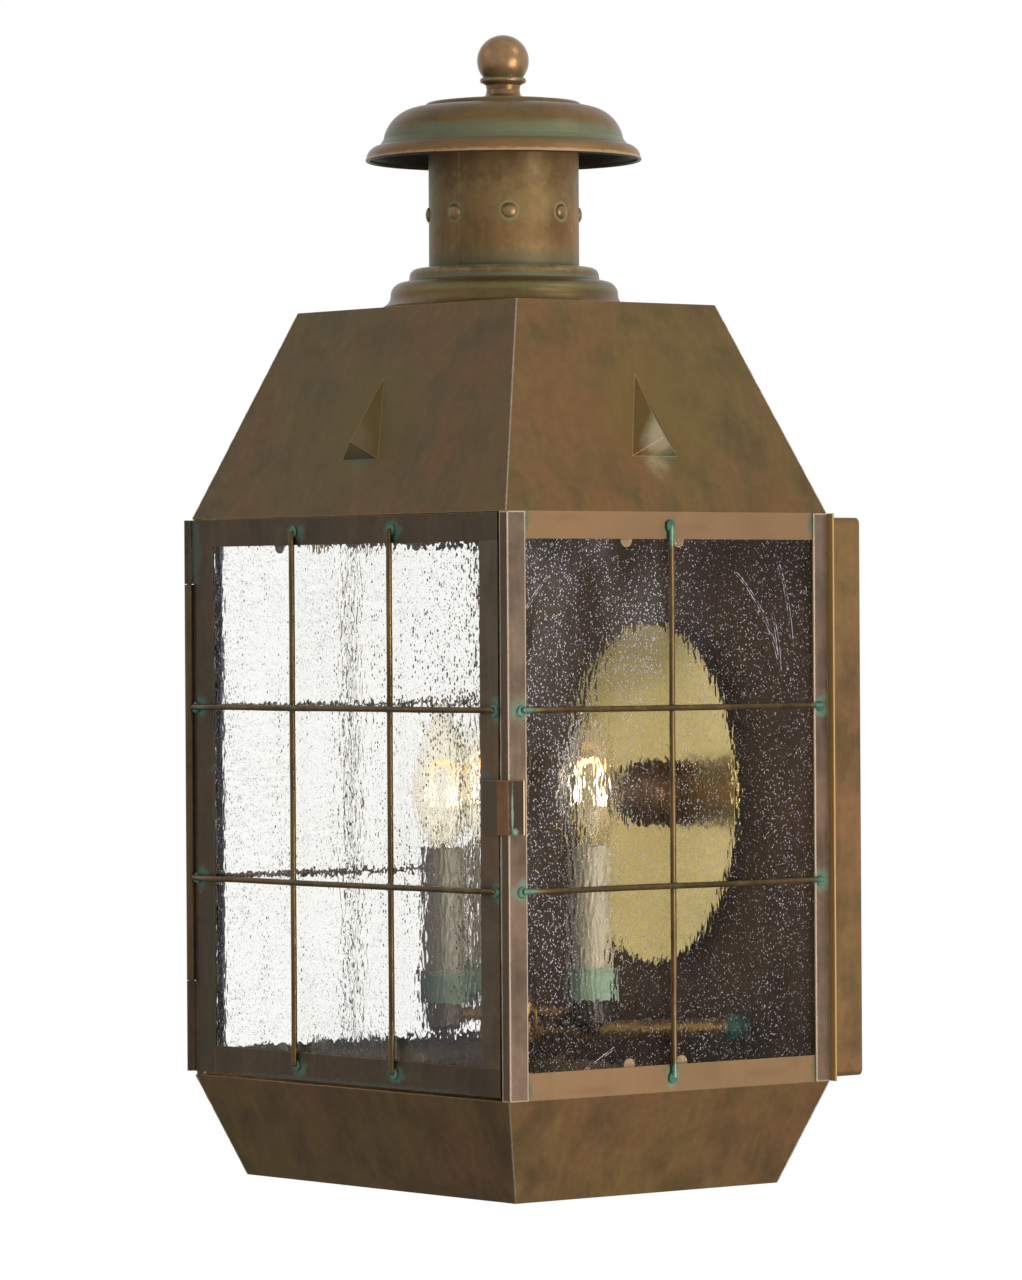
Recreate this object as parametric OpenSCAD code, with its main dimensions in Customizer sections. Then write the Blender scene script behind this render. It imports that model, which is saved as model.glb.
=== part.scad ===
// Wall lantern in aged brass sheet, with a hinged glass door, a vented hood
// and a cluster of three candle lamps.
// x runs across the wall, y = 0 is the wall and the lantern stands out along -y,
// z = 0 is the middle of the back. All sizes are in millimetres.

/* [Body] */
// Width of the body over its side sheets
body_w = 252; // [220:1:300]
// Depth of the body, from the rear sheet to the face of the door
body_d = 203; // [180:1:240]
// Height of the glazed stage, from the skirt to the hood
stage_h = 280; // [240:1:340]
// Thickness of the brass sheet
sheet = 1; // [0.7:0.05:1.3]
// Height of the rails above and below each side window
rail_h = 13; // [10:0.5:18]

/* [Corner posts] */
// Width of a post's side leg at the front
post_front_leg = 11; // [8:0.5:15]
// Width of a post's side leg at the rear
post_rear_leg = 9.1; // [6:0.1:12]
// Width of a post's other leg
post_leg = 6.5; // [4:0.5:8]

/* [Hood] */
// Height of the sloping hood
hood_h = 103.5; // [85:0.5:130]
// How far each face of the hood leans in
hood_inset = 38.5; // [30:0.5:44]

/* [Hood vents] */
// Width of a vent at its foot
vent_w = 30.6; // [22:0.2:38]
// Length of a vent up the slope
vent_l = 46; // [36:0.5:54]
// How far a vent's peak stands off the hood
vent_rise = 9; // [6:0.5:13]
// Distance of the peak from the vent's foot
vent_peak = 6.5; // [4:0.5:10]
// Distance up the slope from the hood's edge to the vent's foot
vent_up = 28.8; // [20:0.2:36]

/* [Skirt] */
// Height of the skirt
skirt_h = 50.5; // [36:0.5:66]
// How far each face of the skirt leans in
skirt_inset = 18.5; // [12:0.5:26]
// Radius of a weep hole in the bottom
weep_r = 2.5; // [1.5:0.1:4]
// Distance of a weep hole from the edges of the bottom
weep_edge = 16; // [10:0.5:24]

/* [Back] */
// Width of the back pan
pan_w = 261; // [230:1:280]
// Height of the back pan
pan_h = 276; // [240:1:300]
// Depth of the back pan
pan_d = 17; // [12:0.5:25]
// Corner radius of the back pan
pan_r = 3; // [2:0.5:8]
// Radius of the wiring hole in the back pan
pan_hole_r = 50; // [35:1:60]
// How far the rear sheet stands out past the back pan at each side
rear_lip = 0.3; // [0:0.1:3]

/* [Wall fixing] */
// Length of the mounting strap past each of its box screw holes
strap_l = 7.55; // [5:0.05:15]
// Width of the mounting strap
strap_w = 20; // [14:0.5:26]
// Thickness of the mounting strap
strap_t = 1.5; // [1:0.1:2.5]
// Spacing of the box screw holes
box_screw_spacing = 88.9; // [82:0.1:92]
// Radius of a box screw hole
box_screw_r = 2.5; // [2:0.1:3]
// Radius of the fixing nipple
nipple_r = 4.85; // [4:0.05:6]
// Bore radius of the fixing nipple
nipple_bore_r = 3; // [2:0.1:3.4]
// Radius of the fixing knob
knob_r = 17; // [12:0.5:18]
// Length of the fixing knob
knob_l = 25; // [20:0.5:30]
// Radius of the rounding at the knob's end
knob_round = 12; // [4:0.5:12]
// Bevel at the knob's foot
knob_bevel = 2; // [1:0.5:3]

/* [Reflector] */
// Width of the oval reflector
reflector_w = 132; // [110:1:150]
// Height of the oval reflector
reflector_h = 172.8; // [140:0.2:190]
// Depth of the reflector's dish
reflector_d = 8; // [5:0.5:14]
// Width of the flat in the middle of the reflector
reflector_flat = 37; // [36:1:44]
// Thickness of the reflector
reflector_t = 0.8; // [0.6:0.1:1.2]

/* [Chimney] */
// Outer radius of the chimney tube
chimney_r = 37.5; // [32:0.5:42]
// Height of the chimney tube
chimney_h = 80.5; // [70:0.5:95]
// Number of rivets round the chimney
rivets = 8; // [4:1:12]
// Radius of a rivet head
rivet_r = 3; // [2:0.1:4]
// Height of a rivet head
rivet_h = 2; // [1.2:0.1:2.6]
// Height of the rivets above the chimney's foot
rivet_up = 47; // [38:0.5:54]
// Direction of the first rivet in plan
rivet_turn = 10.4; // [0:0.1:45]

/* [Chimney ring] */
// Radius of the spun ring at its foot
ring_r = 60.3; // [57:0.1:62]
// Radius of the ring's lower tier
ring_low_r = 56.8; // [55:0.1:57]
// Radius of the ring's upper tier
ring_top_r = 47.3; // [46:0.1:49]
// Height of the ring
ring_h = 20.5; // [18:0.5:24]
// Height of the upright rim at the ring's foot
ring_rim_h = 1.2; // [0.8:0.1:2]
// Radius of the hollow flare above the rim
ring_flare_r = 6.2; // [5.6:0.1:6.6]
// Height of the middle of the lower tier's bulge
ring_waist_h = 6.9; // [6.6:0.1:7.4]
// Radius of the lower tier's bulge
ring_bulge_r = 6.5; // [5.8:0.1:7]
// Height of the upper tier
ring_tier_h = 6.3; // [5.4:0.1:7]
// Radius of the upper tier's rounding
ring_round_r = 3.8; // [2.5:0.1:4.6]
// How far the upper tier rises towards the chimney
ring_rise = 0.4; // [0.2:0.1:0.8]

/* [Vent cap] */
// Radius of the cap's brim
cap_r = 68.5; // [65:0.1:72]
// Radius of the cap's dome
cap_dome_r = 60.2; // [58:0.1:62]
// Radius of the raised crown on the dome
crown_r = 39.8; // [38:0.1:41]
// Height of the cap from its brim to its top
cap_h = 30.2; // [29:0.1:34]
// How far the brim hangs below the chimney's mouth
cap_lap = 6; // [3:0.5:9]

/* [Cap fixing] */
// Width of the bridge's arms
bridge_w = 10; // [7:0.5:13]
// Thickness of the bridge
bridge_t = 1.5; // [1:0.1:2.2]
// Distance of the bridge below the chimney's mouth
bridge_drop = 4.5; // [2:0.5:6]
// Radius of the threaded cap rod
rod_r = 3; // [2.5:0.1:3.5]
// Length of the cap rod
rod_l = 50; // [48:0.5:54]
// Width of a rod nut across its corners
nut_w = 11.5; // [10.5:0.1:14]
// Thickness of a rod nut
nut_h = 5; // [3.5:0.1:5.4]

/* [Finial] */
// Radius of the finial's ball
ball_r = 12.95; // [11:0.05:15]
// Height of the finial
finial_h = 32.1; // [30:0.1:36]
// Radius of the finial's foot
finial_foot_r = 9.8; // [9:0.1:11]
// Radius of the finial's collar
finial_collar_r = 11.6; // [10.8:0.1:13]

/* [Glass] */
// Thickness of the panes
pane_t = 3; // [2:0.1:4]
// How far a pane laps behind the rails round it
pane_lap = 5; // [3.5:0.1:6]
// Distance of the side clips in front of the middle
clip_front = 24.5; // [15:0.5:60]
// Distance of the side clips behind the middle
clip_rear = 8.5; // [8:0.5:60]
// Width of a glass clip
clip_w = 7; // [5:0.5:10]
// How far a clip shows past the rail
clip_show = 4; // [2:0.5:7]
// Thickness of a glass clip
clip_t = 0.8; // [0.5:0.1:1.2]
// How far a clip's foot reaches past the pane's edge
clip_foot = 6; // [3:0.5:9]

/* [Window bars] */
// Radius of the wire of the bars
bar_r = 1.45; // [1:0.05:1.7]
// Height of the upper cross bars above the middle
bar_high = 45.5; // [30:0.5:80]
// Distance of the lower cross bars below the middle
bar_low = 40.5; // [30:0.5:80]
// How far an upright laps over the rails
bar_lap = 7; // [3:0.5:9]
// Distance of the side cross bars' front ends behind the face of the door
bar_front = 7; // [6:0.5:9]
// Distance of the side cross bars' rear ends in front of the rear sheet
bar_rear = 5; // [3:0.5:8]
// Length of a cross bar's soldered end
bar_end = 4; // [3:0.5:5]
// Distance over which a cross bar bends up to cross the uprights
bar_bend = 12; // [8:0.5:16]
// Distance of the door bars' ends from the latch edge of the door
bar_inset = 1.2; // [0.8:0.1:3]
// How far the door bars reach past the hinge stile
bar_over = 1.8; // [0:0.1:2]

/* [Door] */
// Width of the door's window
door_window_w = 214.5; // [190:0.5:240]
// Width of the stile on the hinge side
hinge_stile_w = 14.2; // [10:0.1:18]
// Width of the stile on the latch side
latch_stile_w = 13.7; // [10:0.1:18]
// Height of the door's top rail
door_top_h = 13.6; // [10:0.1:18]
// Height of the door's bottom rail
door_bottom_h = 13.7; // [10:0.1:18]
// Gap between the top of the door and the hood
door_gap_top = 0.4; // [0.3:0.1:2]
// Gap between the bottom of the door and the skirt
door_gap_bottom = 1.7; // [0.5:0.1:3]
// Distance of the door's uprights from the middle of its window
door_bar_x = 39.25; // [25:0.25:60]
// Distance of the door's glass clips from the middle of its window
door_clip_x = 55; // [50:1:80]

/* [Hinge] */
// Radius of the hinge's knuckles
knuckle_r = 2.4; // [2:0.1:3]
// Radius of the hinge pin
pin_r = 1.2; // [0.9:0.05:1.4]
// Clearance of the pin in its knuckles
pin_fit = 0.05; // [0.02:0.01:0.1]
// Length of the door's upper knuckle
knuckle_top_l = 32.1; // [20:0.1:60]
// Length of the door's lower knuckle
knuckle_low_l = 45.4; // [20:0.1:60]
// Width of the leaf on the post
leaf_w = 10.3; // [7:0.1:10.5]

/* [Latch] */
// Height of the latch clip
latch_h = 26.2; // [16:0.1:40]
// Length of the clip's leg along the door
latch_foot_l = 20.8; // [16:0.1:23]
// Length of the clip's leg along the post
latch_side_l = 12.6; // [9:0.1:18]
// How far the lip of that leg turns out
latch_lip = 1.2; // [0.6:0.1:2]
// Length of the lip
latch_lip_l = 2; // [1:0.1:3]
// Height of the clip's middle below the middle of the door
latch_drop = 0.6; // [0:0.1:10]
// Thickness of the latch clip
latch_t = 1; // [0.6:0.1:1.4]

/* [Lamp cluster] */
// Distance of a candle from the middle
lamp_ring_r = 42; // [36:0.5:52]
// Direction of the first candle in plan
lamp_turn = 34; // [30:1:38]
// Direction of the filaments' broad side in plan
filament_turn = 50; // [0:5:90]
// Height of the top of the candle bases above the bottom of the stage
lamp_up = 39.5; // [32:0.5:50]
// Radius of the hub
hub_r = 13; // [10:0.5:16]
// Height of the hub
hub_h = 23; // [22:0.5:30]
// Radius of the round drop under the hub
hub_drop_r = 3; // [2:0.5:5]
// Radius of a candle arm
arm_r = 3.5; // [2.5:0.1:3.8]
// Radius of a bracket arm
bracket_r = 4.5; // [3.5:0.1:4.8]
// Distance of a bracket foot from the middle
bracket_x = 62; // [50:1:80]
// Radius of a bracket foot
foot_r = 6.5; // [5.5:0.1:8]

/* [Candles] */
// Radius of a candle base
base_r = 10; // [8:0.5:12]
// Height of a candle base
base_h = 18.5; // [17:0.5:22]
// Outer radius of a candle cup
cup_r = 12.6; // [12:0.1:15]
// Height of a candle cup
cup_h = 16; // [12:0.5:22]
// Thickness of the cup's floor
cup_floor = 1.5; // [1:0.1:2.5]
// Outer radius of a candle sleeve
sleeve_r = 10.5; // [10.2:0.1:10.9]
// Wall of a candle sleeve
sleeve_wall = 0.8; // [0.5:0.1:1]
// Height of a candle sleeve
sleeve_h = 75; // [70:0.5:90]
// Radius of a lamp socket
socket_r = 9; // [8:0.1:9.1]
// Distance of the socket's mouth below the top of the sleeve
socket_drop = 6; // [4:0.5:10]
// Radius of a bulb's screw base
screw_r = 6; // [5.5:0.1:6.6]
// Length of a bulb's screw base
screw_l = 26; // [24:0.5:28]
// Greatest radius of a bulb
bulb_r = 15.5; // [13:0.5:17.5]
// Height of a bulb's glass
bulb_h = 74; // [66:0.5:84]
// Height of a bulb's widest point above its screw base
bulb_belly = 29.6; // [24:0.1:34]
// Thickness of a bulb's glass
bulb_t = 0.8; // [0.5:0.1:1.2]
// Radius of the glass stem inside a bulb
stem_r = 2.2; // [1.6:0.1:3]
// Height of the glass stem
stem_h = 14; // [10:0.5:18]
// Rise of the leads from the stem to the filament's legs
lead_rise = 8; // [6:0.5:12]
// Distance of a filament's legs from the middle of its bulb
filament_x = 7; // [4:0.5:8]
// Length of a filament's legs
filament_leg = 19; // [12:0.5:22]
// Radius of the coiled filament
filament_r = 0.9; // [0.6:0.1:1.2]

/* [Fits] */
// Clearance between fixed pieces that meet on a curve
seat_gap = 0.1; // [0.05:0.01:0.2]
// Clearance between the moving latch and what it covers
latch_gap = 0.3; // [0.2:0.05:0.5]
// Clearance between neighbouring knuckles
knuckle_gap = 0.3; // [0.2:0.05:0.5]
// Clearance of a pane at the ends of its sheet frame
pane_gap = 0.5; // [0.3:0.1:1]
// How far soldered wires bite into each other
solder_bite = 0.15; // [0.1:0.05:0.3]
// Slit between the door and the fixed sheets beside it
door_slit = 1.8; // [1:0.1:3]
// Distance of the left front post behind the face of the door
post_setback = 1.4; // [1.2:0.1:2.4]

/* [Hidden] */
$fn = 48;
cut = 1;
deep = 20;
half_w = body_w / 2;
half_h = stage_h / 2;
back_y = -(pan_d + sheet);
front_y = back_y - body_d;
mid_y = (back_y + front_y) / 2;
post_x = half_w + sheet;
rail_z = half_h - rail_h;
right_rail_front = front_y + sheet;
left_rail_front = front_y + post_setback + sheet;

// Hood and skirt: the sheet is thicker when it is cut level
hood_run = sheet * sqrt(1 + pow(hood_inset / hood_h, 2));
skirt_run = sheet * sqrt(1 + pow(skirt_inset / skirt_h, 2));
hood_lean = atan(hood_inset / hood_h);
hood_top = half_h + hood_h;
skirt_end = -half_h - skirt_h;
vent_wall = 1.2 * sheet;

// Wall fixing
knob_y = back_y - reflector_t;
knob_bore_l = knob_l - knob_round;
nipple_end = knob_y - knob_bore_l + 0.3;

// Chimney, cap and finial, stacked from the hood's top
chimney_top = hood_top + chimney_h;
rivet_z = hood_top + rivet_up;
bridge_z = chimney_top - bridge_drop;
bridge_reach = sqrt(pow(chimney_r - sheet - seat_gap, 2) - pow(bridge_w / 2, 2));
rod_z = bridge_z - bridge_t - nut_h - 1;
cap_z = chimney_top - cap_lap;
cap_top = cap_z + cap_h;
crown_z = cap_top - 4;
brim_arc_r = 7.1;
crown_arc_r = 3;
ball_z = cap_top + finial_h - ball_r;

// Door: its window is centred on the panes between the stiles
door_right = post_x - post_leg + 0.5 - door_slit;
window_right = door_right - latch_stile_w;
window_left = window_right - door_window_w;
stile_left = window_left - hinge_stile_w;
door_top = half_h - door_gap_top;
door_bottom = -half_h + door_gap_bottom;
window_top = door_top - door_top_h;
window_bottom = door_bottom + door_bottom_h;
window_mid = (window_left + window_right) / 2;
door_back = front_y + sheet;

// Hinge: the pin stands outside the left front post
hinge_x = -post_x - knuckle_r;
hinge_y = front_y + 0.2 * sheet;
tab_left = hinge_x + pin_r + pin_fit + 0.55;
leaf_top = door_top - knuckle_top_l - knuckle_gap;
leaf_bottom = door_bottom + knuckle_low_l + knuckle_gap;

// Latch
latch_face = front_y - seat_gap;
latch_x = post_x + latch_gap;

// Lamps
lamp_z = -half_h + lamp_up;
hub_low = lamp_z - hub_h - 0.5;
arm_z = lamp_z - 6.5;
bracket_z = lamp_z - 16;
foot_y = back_y - foot_r - 0.5;
cup_inner_r = cup_r - sheet;
sleeve_z = lamp_z + cup_floor;
sleeve_top = sleeve_z + sleeve_h;
socket_top = sleeve_top - socket_drop;
screw_z = sleeve_top - 2 - screw_l;
bulb_z = screw_z + screw_l;
lamp_angles = [lamp_turn + 120, lamp_turn, lamp_turn - 120];

BRASS = "#8a6a3f";
DARK_BRASS = "#6b5133";
COPPER = "#8c5a38";
VERDIGRIS = "#6f9a83";
BRIGHT_BRASS = "#d9b765";
STEEL = "#9a9890";
PANE = "#cfd8d580";

// Points along an arc about c, from angle a0 to a1
function arc(c, r, a0, a1, steps = 8) =
    [for (i = [0:steps]) let (a = a0 + (a1 - a0) * i / steps) c + r * [cos(a), sin(a)]];

function reversed(list) = [for (i = [len(list) - 1:-1:0]) list[i]];

// Corners of the body at one level: front left, front right, rear right, rear left
function corners(inset, z) = [
    [-half_w + inset, front_y + inset, z], [half_w - inset, front_y + inset, z],
    [half_w - inset, back_y - inset, z], [-half_w + inset, back_y - inset, z]];

// A box between two limits on each axis
module block(x, y, z) {
    translate([x[0], y[0], z[0]]) cube([x[1] - x[0], y[1] - y[0], z[1] - z[0]]);
}

// A round bar between two points
module bar(a, b, r) {
    v = b - a;
    translate(a) rotate([0, acos(v.z / norm(v)), atan2(v.y, v.x)]) cylinder(h = norm(v), r = r);
}

// A bar along y, from y0 back to the wall side
module bore_y(x, z, r, y0, y1) {
    translate([x, y0, z]) rotate([-90, 0, 0]) cylinder(h = y1 - y0, r = r);
}

// A flat panel of the hood or skirt, mitred at both ends
// side is 0 front, 1 right, 2 rear, 3 left
module mitred_panel(side, low_inset, low_z, top_inset, top_z, run) {
    a = side;
    b = (side + 1) % 4;
    low = corners(low_inset, low_z);
    top = corners(top_inset, top_z);
    low_in = corners(low_inset + run, low_z);
    top_in = corners(top_inset + run, top_z);
    polyhedron(
        [low[a], low[b], top[b], top[a], low_in[a], low_in[b], top_in[b], top_in[a]],
        [[0, 3, 2, 1], [4, 5, 6, 7], [0, 1, 5, 4], [3, 7, 6, 2], [0, 4, 7, 3], [1, 2, 6, 5]]);
}

// A three-sided pyramid on the hood's face, lowered by drop
module vent_pyramid(drop) {
    base = -drop - sheet / 2;
    polyhedron(
        [[-vent_w / 2, 0, base], [vent_w / 2, 0, base], [0, vent_l, base],
         [0, vent_peak, vent_rise - drop]],
        [[0, 3, 1], [0, 1, 2], [2, 1, 3], [0, 2, 3]]);
}

// Puts a vent on the front face, or a turn about z from it
module on_hood_face(turn) {
    reach = abs(turn) > 45 ? half_w : body_d / 2;
    translate([0, mid_y, half_h]) rotate([0, 0, turn]) translate([0, -reach, 0])
        rotate([90 - hood_lean, 0, 0]) translate([0, vent_up, 0]) children();
}

module hood_panel(side) {
    mitred_panel(side, 0, half_h, hood_inset, hood_top, hood_run);
}

// A hood panel with its vent pressed out of the sheet
module vented_panel(side, turn) {
    difference() {
        union() {
            hood_panel(side);
            on_hood_face(turn) vent_pyramid(0);
        }
        on_hood_face(turn) vent_pyramid(vent_wall);
    }
}

// The flat strip that a side panel is folded down or up into, on the right side
module side_rail(z, rail_front) {
    block([half_w - sheet, half_w], [rail_front, back_y - sheet], z);
}

module roof_front() color(BRASS) vented_panel(0, 0);

module roof_right() color(BRASS) union() {
    vented_panel(1, 90);
    side_rail([rail_z, half_h], right_rail_front);
}

module roof_rear() color(BRASS) hood_panel(2);

module roof_left() color(BRASS) union() {
    vented_panel(3, -90);
    mirror([1, 0, 0]) side_rail([rail_z, half_h], left_rail_front);
}

module roof_plate() color(DARK_BRASS) difference() {
    inset = hood_inset + hood_run;
    block([-half_w + inset, half_w - inset], [front_y + inset, back_y - inset],
        [hood_top - sheet, hood_top]);
    translate([0, mid_y, hood_top - sheet - cut]) cylinder(h = sheet + 2 * cut, r = chimney_r - sheet);
}

module skirt_panel(side) {
    mitred_panel(side, skirt_inset, skirt_end, 0, -half_h, skirt_run);
}

module skirt_front() color(BRASS) skirt_panel(0);

module skirt_right() color(BRASS) union() {
    skirt_panel(1);
    side_rail([-half_h, -rail_z], right_rail_front);
}

module skirt_rear() color(BRASS) skirt_panel(2);

module skirt_left() color(BRASS) union() {
    skirt_panel(3);
    mirror([1, 0, 0]) side_rail([-half_h, -rail_z], left_rail_front);
}

module bottom_plate() color(DARK_BRASS) difference() {
    inset = skirt_inset + skirt_run;
    block([-half_w + inset, half_w - inset], [front_y + inset, back_y - inset],
        [skirt_end, skirt_end + sheet]);
    for (x = [-1, 1], y = [-1, 1])
        translate([x * (half_w - inset - weep_edge), mid_y + y * (body_d / 2 - inset - weep_edge),
            skirt_end - cut])
            cylinder(h = sheet + 2 * cut, r = weep_r);
}

// A flat plate of the back with round corners, from y0 forwards by t
module back_slab(w, h, r, y0, t) {
    translate([0, y0, 0]) rotate([90, 0, 0]) linear_extrude(t) {
        square([w - 2 * r, h], center = true);
        square([w, h - 2 * r], center = true);
        for (x = [-1, 1], z = [-1, 1]) translate([x * (w / 2 - r), z * (h / 2 - r)]) circle(r = r);
    }
}

module back_pan() color(DARK_BRASS) difference() {
    back_slab(pan_w, pan_h, pan_r, 0, pan_d);
    back_slab(pan_w - 2 * sheet, pan_h - 2 * sheet, pan_r - sheet, cut, pan_d - sheet + cut);
    bore_y(0, 0, pan_hole_r, -pan_d - cut, cut);
}

module rear_wall() color(DARK_BRASS) difference() {
    half = pan_w / 2 + rear_lip;
    block([-half, half], [back_y, back_y + sheet], [-half_h, half_h]);
    bore_y(0, 0, nipple_r + seat_gap, back_y - cut, back_y + sheet + cut);
    for (x = [-1, 1]) bore_y(x * bracket_x, bracket_z, foot_r / 2, back_y - cut, back_y + sheet + cut);
}

module mounting_strap() color(STEEL) difference() {
    half = box_screw_spacing / 2 + strap_l;
    block([-half, half], [-strap_t, 0], [-strap_w / 2, strap_w / 2]);
    bore_y(0, 0, nipple_r + seat_gap, -strap_t - cut, cut);
    for (x = [-1, 1]) bore_y(x * box_screw_spacing / 2, 0, box_screw_r, -strap_t - cut, cut);
}

module fixing_nipple() color(STEEL) difference() {
    bore_y(0, 0, nipple_r, nipple_end, 0);
    bore_y(0, 0, nipple_bore_r, nipple_end - cut, cut);
}

// A turned knob that draws the body back onto the strap
module fixing_knob() color(DARK_BRASS) difference() {
    translate([0, knob_y, 0]) rotate([90, 0, 0]) rotate_extrude()
        polygon(concat([[0, 0], [knob_r - knob_bevel, 0], [knob_r, knob_bevel]],
            arc([knob_r - knob_round, knob_bore_l], knob_round, 0, 90), [[0, knob_l]]));
    bore_y(0, 0, nipple_r + seat_gap, knob_y - knob_bore_l, knob_y + cut);
}

// An angle post at the right side: outer faces on x and y, legs inward
module angle_post(y_face, side_leg, face_leg, inward) {
    y_side = y_face + inward * side_leg;
    y_leg = y_face + inward * sheet;
    union() {
        block([post_x - sheet, post_x], [min(y_face, y_side), max(y_face, y_side)], [-half_h, half_h]);
        block([post_x - face_leg, post_x], [min(y_face, y_leg), max(y_face, y_leg)], [-half_h, half_h]);
    }
}

module post_front_right() color(BRASS)
    angle_post(front_y, post_front_leg, post_leg - 0.5, 1);

module post_front_left() color(BRASS) mirror([1, 0, 0])
    angle_post(front_y + post_setback, post_front_leg - post_setback, post_leg, 1);

module post_rear_right() color(BRASS) angle_post(back_y, post_rear_leg, post_leg, -1);

module post_rear_left() color(BRASS) mirror([1, 0, 0]) post_rear_right();

// The spun ring round the chimney's foot: a flared foot and two rounded tiers
module chimney_ring() color(BRASS) translate([0, mid_y, hood_top]) rotate_extrude() {
    flare = [ring_low_r + ring_flare_r, ring_waist_h];
    low = [ring_low_r - ring_bulge_r, ring_waist_h];
    top = [ring_top_r - ring_round_r, ring_h - ring_round_r - ring_rise];
    step_z = ring_h - ring_tier_h;
    fillet = 0.3 * sheet;
    outer = concat([[ring_r, 0], [ring_r, ring_rim_h]],
        reversed(arc(flare, ring_flare_r, 180, 246)),
        arc(low, ring_bulge_r, 8, 82), [[ring_top_r + fillet, step_z]],
        arc(top, ring_round_r, 0, 90), [[chimney_r + seat_gap, ring_h]]);
    inner = concat([[ring_r - sheet, 0], [ring_r - sheet, ring_rim_h]],
        reversed(arc(flare, ring_flare_r + sheet, 180, 242)),
        arc(low, ring_bulge_r - sheet, 8, 82), [[ring_top_r - sheet, step_z - sheet]],
        arc(top, ring_round_r - sheet, 0, 90), [[chimney_r + seat_gap, ring_h - sheet]]);
    polygon(concat(outer, reversed(inner)));
}

module chimney() color(DARK_BRASS) translate([0, mid_y, hood_top]) difference() {
    cylinder(h = chimney_h, r = chimney_r, $fn = 96);
    translate([0, 0, -cut]) cylinder(h = chimney_h + 2 * cut, r = chimney_r - sheet, $fn = 96);
}

module chimney_rivets() color(DARK_BRASS)
    for (i = [0:rivets - 1])
        translate([0, mid_y, rivet_z]) rotate([0, 0, rivet_turn + 360 * i / rivets])
            translate([chimney_r, 0, 0]) rotate([0, 90, 0]) rivet_head();

// A domed head: the cap of a ball
module rivet_head() {
    ball = (rivet_r * rivet_r + rivet_h * rivet_h) / (2 * rivet_h);
    rotate_extrude() intersection() {
        translate([0, rivet_h - ball]) circle(r = ball);
        square([rivet_r + cut, rivet_h + cut]);
    }
}

// A cross of strip, its ends turned down inside the chimney
module cap_bridge() color(STEEL) translate([0, mid_y, 0]) rotate([0, 0, rivet_turn]) difference() {
    tab_low = rivet_z - rivet_r - 2;
    union() for (turn = [0, 90]) rotate([0, 0, turn]) {
        block([-bridge_reach, bridge_reach], [-bridge_w / 2, bridge_w / 2],
            [bridge_z - bridge_t, bridge_z]);
        for (x = [-bridge_reach, bridge_reach - bridge_t])
            block([x, x + bridge_t], [-bridge_w / 2, bridge_w / 2], [tab_low, bridge_z]);
    }
    translate([0, 0, bridge_z - bridge_t - cut]) cylinder(h = bridge_t + 2 * cut, r = rod_r + seat_gap);
}

module cap_rod() color(STEEL) translate([0, mid_y, rod_z]) cylinder(h = rod_l, r = rod_r);

// Nuts below and above the bridge, and one under the cap
module cap_rod_nuts() color(STEEL)
    for (z = [bridge_z - bridge_t - nut_h, bridge_z, cap_top - sheet - nut_h])
        translate([0, mid_y, z]) difference() {
            cylinder(h = nut_h, r = nut_w / 2, $fn = 6);
            translate([0, 0, -cut]) cylinder(h = nut_h + 2 * cut, r = rod_r + seat_gap / 2);
        }

// The spun cap: a rolled brim, a bulging dome and a low crown with a flat seat for the finial
module vent_cap() color(COPPER) translate([0, mid_y, 0]) rotate_extrude($fn = 96) {
    crown_fall = 0.8;
    brim = [cap_r - brim_arc_r + 0.1, cap_z];
    dome_r = cap_dome_r - crown_r - 1.2;
    dome = [cap_dome_r - dome_r, crown_z - dome_r];
    crown = [crown_r - crown_arc_r - 0.3, cap_top - crown_fall - crown_arc_r - crown_fall];
    seat_r = finial_foot_r + 2;
    bore = rod_r + seat_gap;
    outer = concat(arc(brim, brim_arc_r, 0, 85), arc(dome, dome_r, 9, 92, 12),
        arc(crown, crown_arc_r, 15, 90),
        [[crown_r - 10, cap_top - crown_fall], [seat_r, cap_top], [bore, cap_top]]);
    inner = concat(arc(brim, brim_arc_r - sheet, 0, 85), arc(dome, dome_r - sheet, 9, 92, 12),
        arc(crown, crown_arc_r - sheet, 15, 90),
        [[crown_r - 10, cap_top - crown_fall - sheet], [seat_r, cap_top - sheet],
         [bore, cap_top - sheet]]);
    polygon(concat(outer, reversed(inner)));
    translate([cap_r - sheet / 2, cap_z]) circle(r = 0.9 * sheet, $fn = 24);
}

// A turned ball on a waisted foot and a rounded collar
module finial() color(COPPER) translate([0, mid_y, cap_top]) {
    rim_h = 1;
    bead_r = 1.5;
    collar_z = finial_h - 2 * ball_r + 3.1;
    collar_x = finial_collar_r - bead_r;
    neck_r = finial_foot_r - 1.5;
    lip_r = neck_r + 0.4;
    lip_h = 2.4;
    difference() {
        rotate_extrude($fn = 96) {
            polygon([[0, 0], [finial_foot_r, 0], [finial_foot_r, rim_h], [lip_r, lip_h],
                [neck_r, collar_z / 2], [lip_r, collar_z - lip_h], [collar_x, collar_z - bead_r],
                [collar_x, collar_z + bead_r + 1], [0, collar_z + bead_r + 1]]);
            translate([collar_x, collar_z]) circle(r = bead_r, $fn = 32);
            intersection() {
                translate([0, ball_z - cap_top]) circle(r = ball_r);
                translate([0, collar_z]) square([ball_r + cut, finial_h]);
            }
        }
        translate([0, 0, -cut]) cylinder(h = rod_z + rod_l - cap_top + cut + 0.5, r = rod_r + seat_gap / 2);
    }
}

// A pane at the right side, from its front edge to its rear edge
module side_pane(front) {
    block([half_w - sheet - pane_t, half_w - sheet], [front, back_y - sheet - pane_gap],
        [-rail_z - pane_lap, rail_z + pane_lap]);
}

module glass_right() color(PANE) side_pane(right_rail_front + pane_gap);

module glass_left() color(PANE) mirror([1, 0, 0]) side_pane(left_rail_front + pane_gap);

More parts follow.
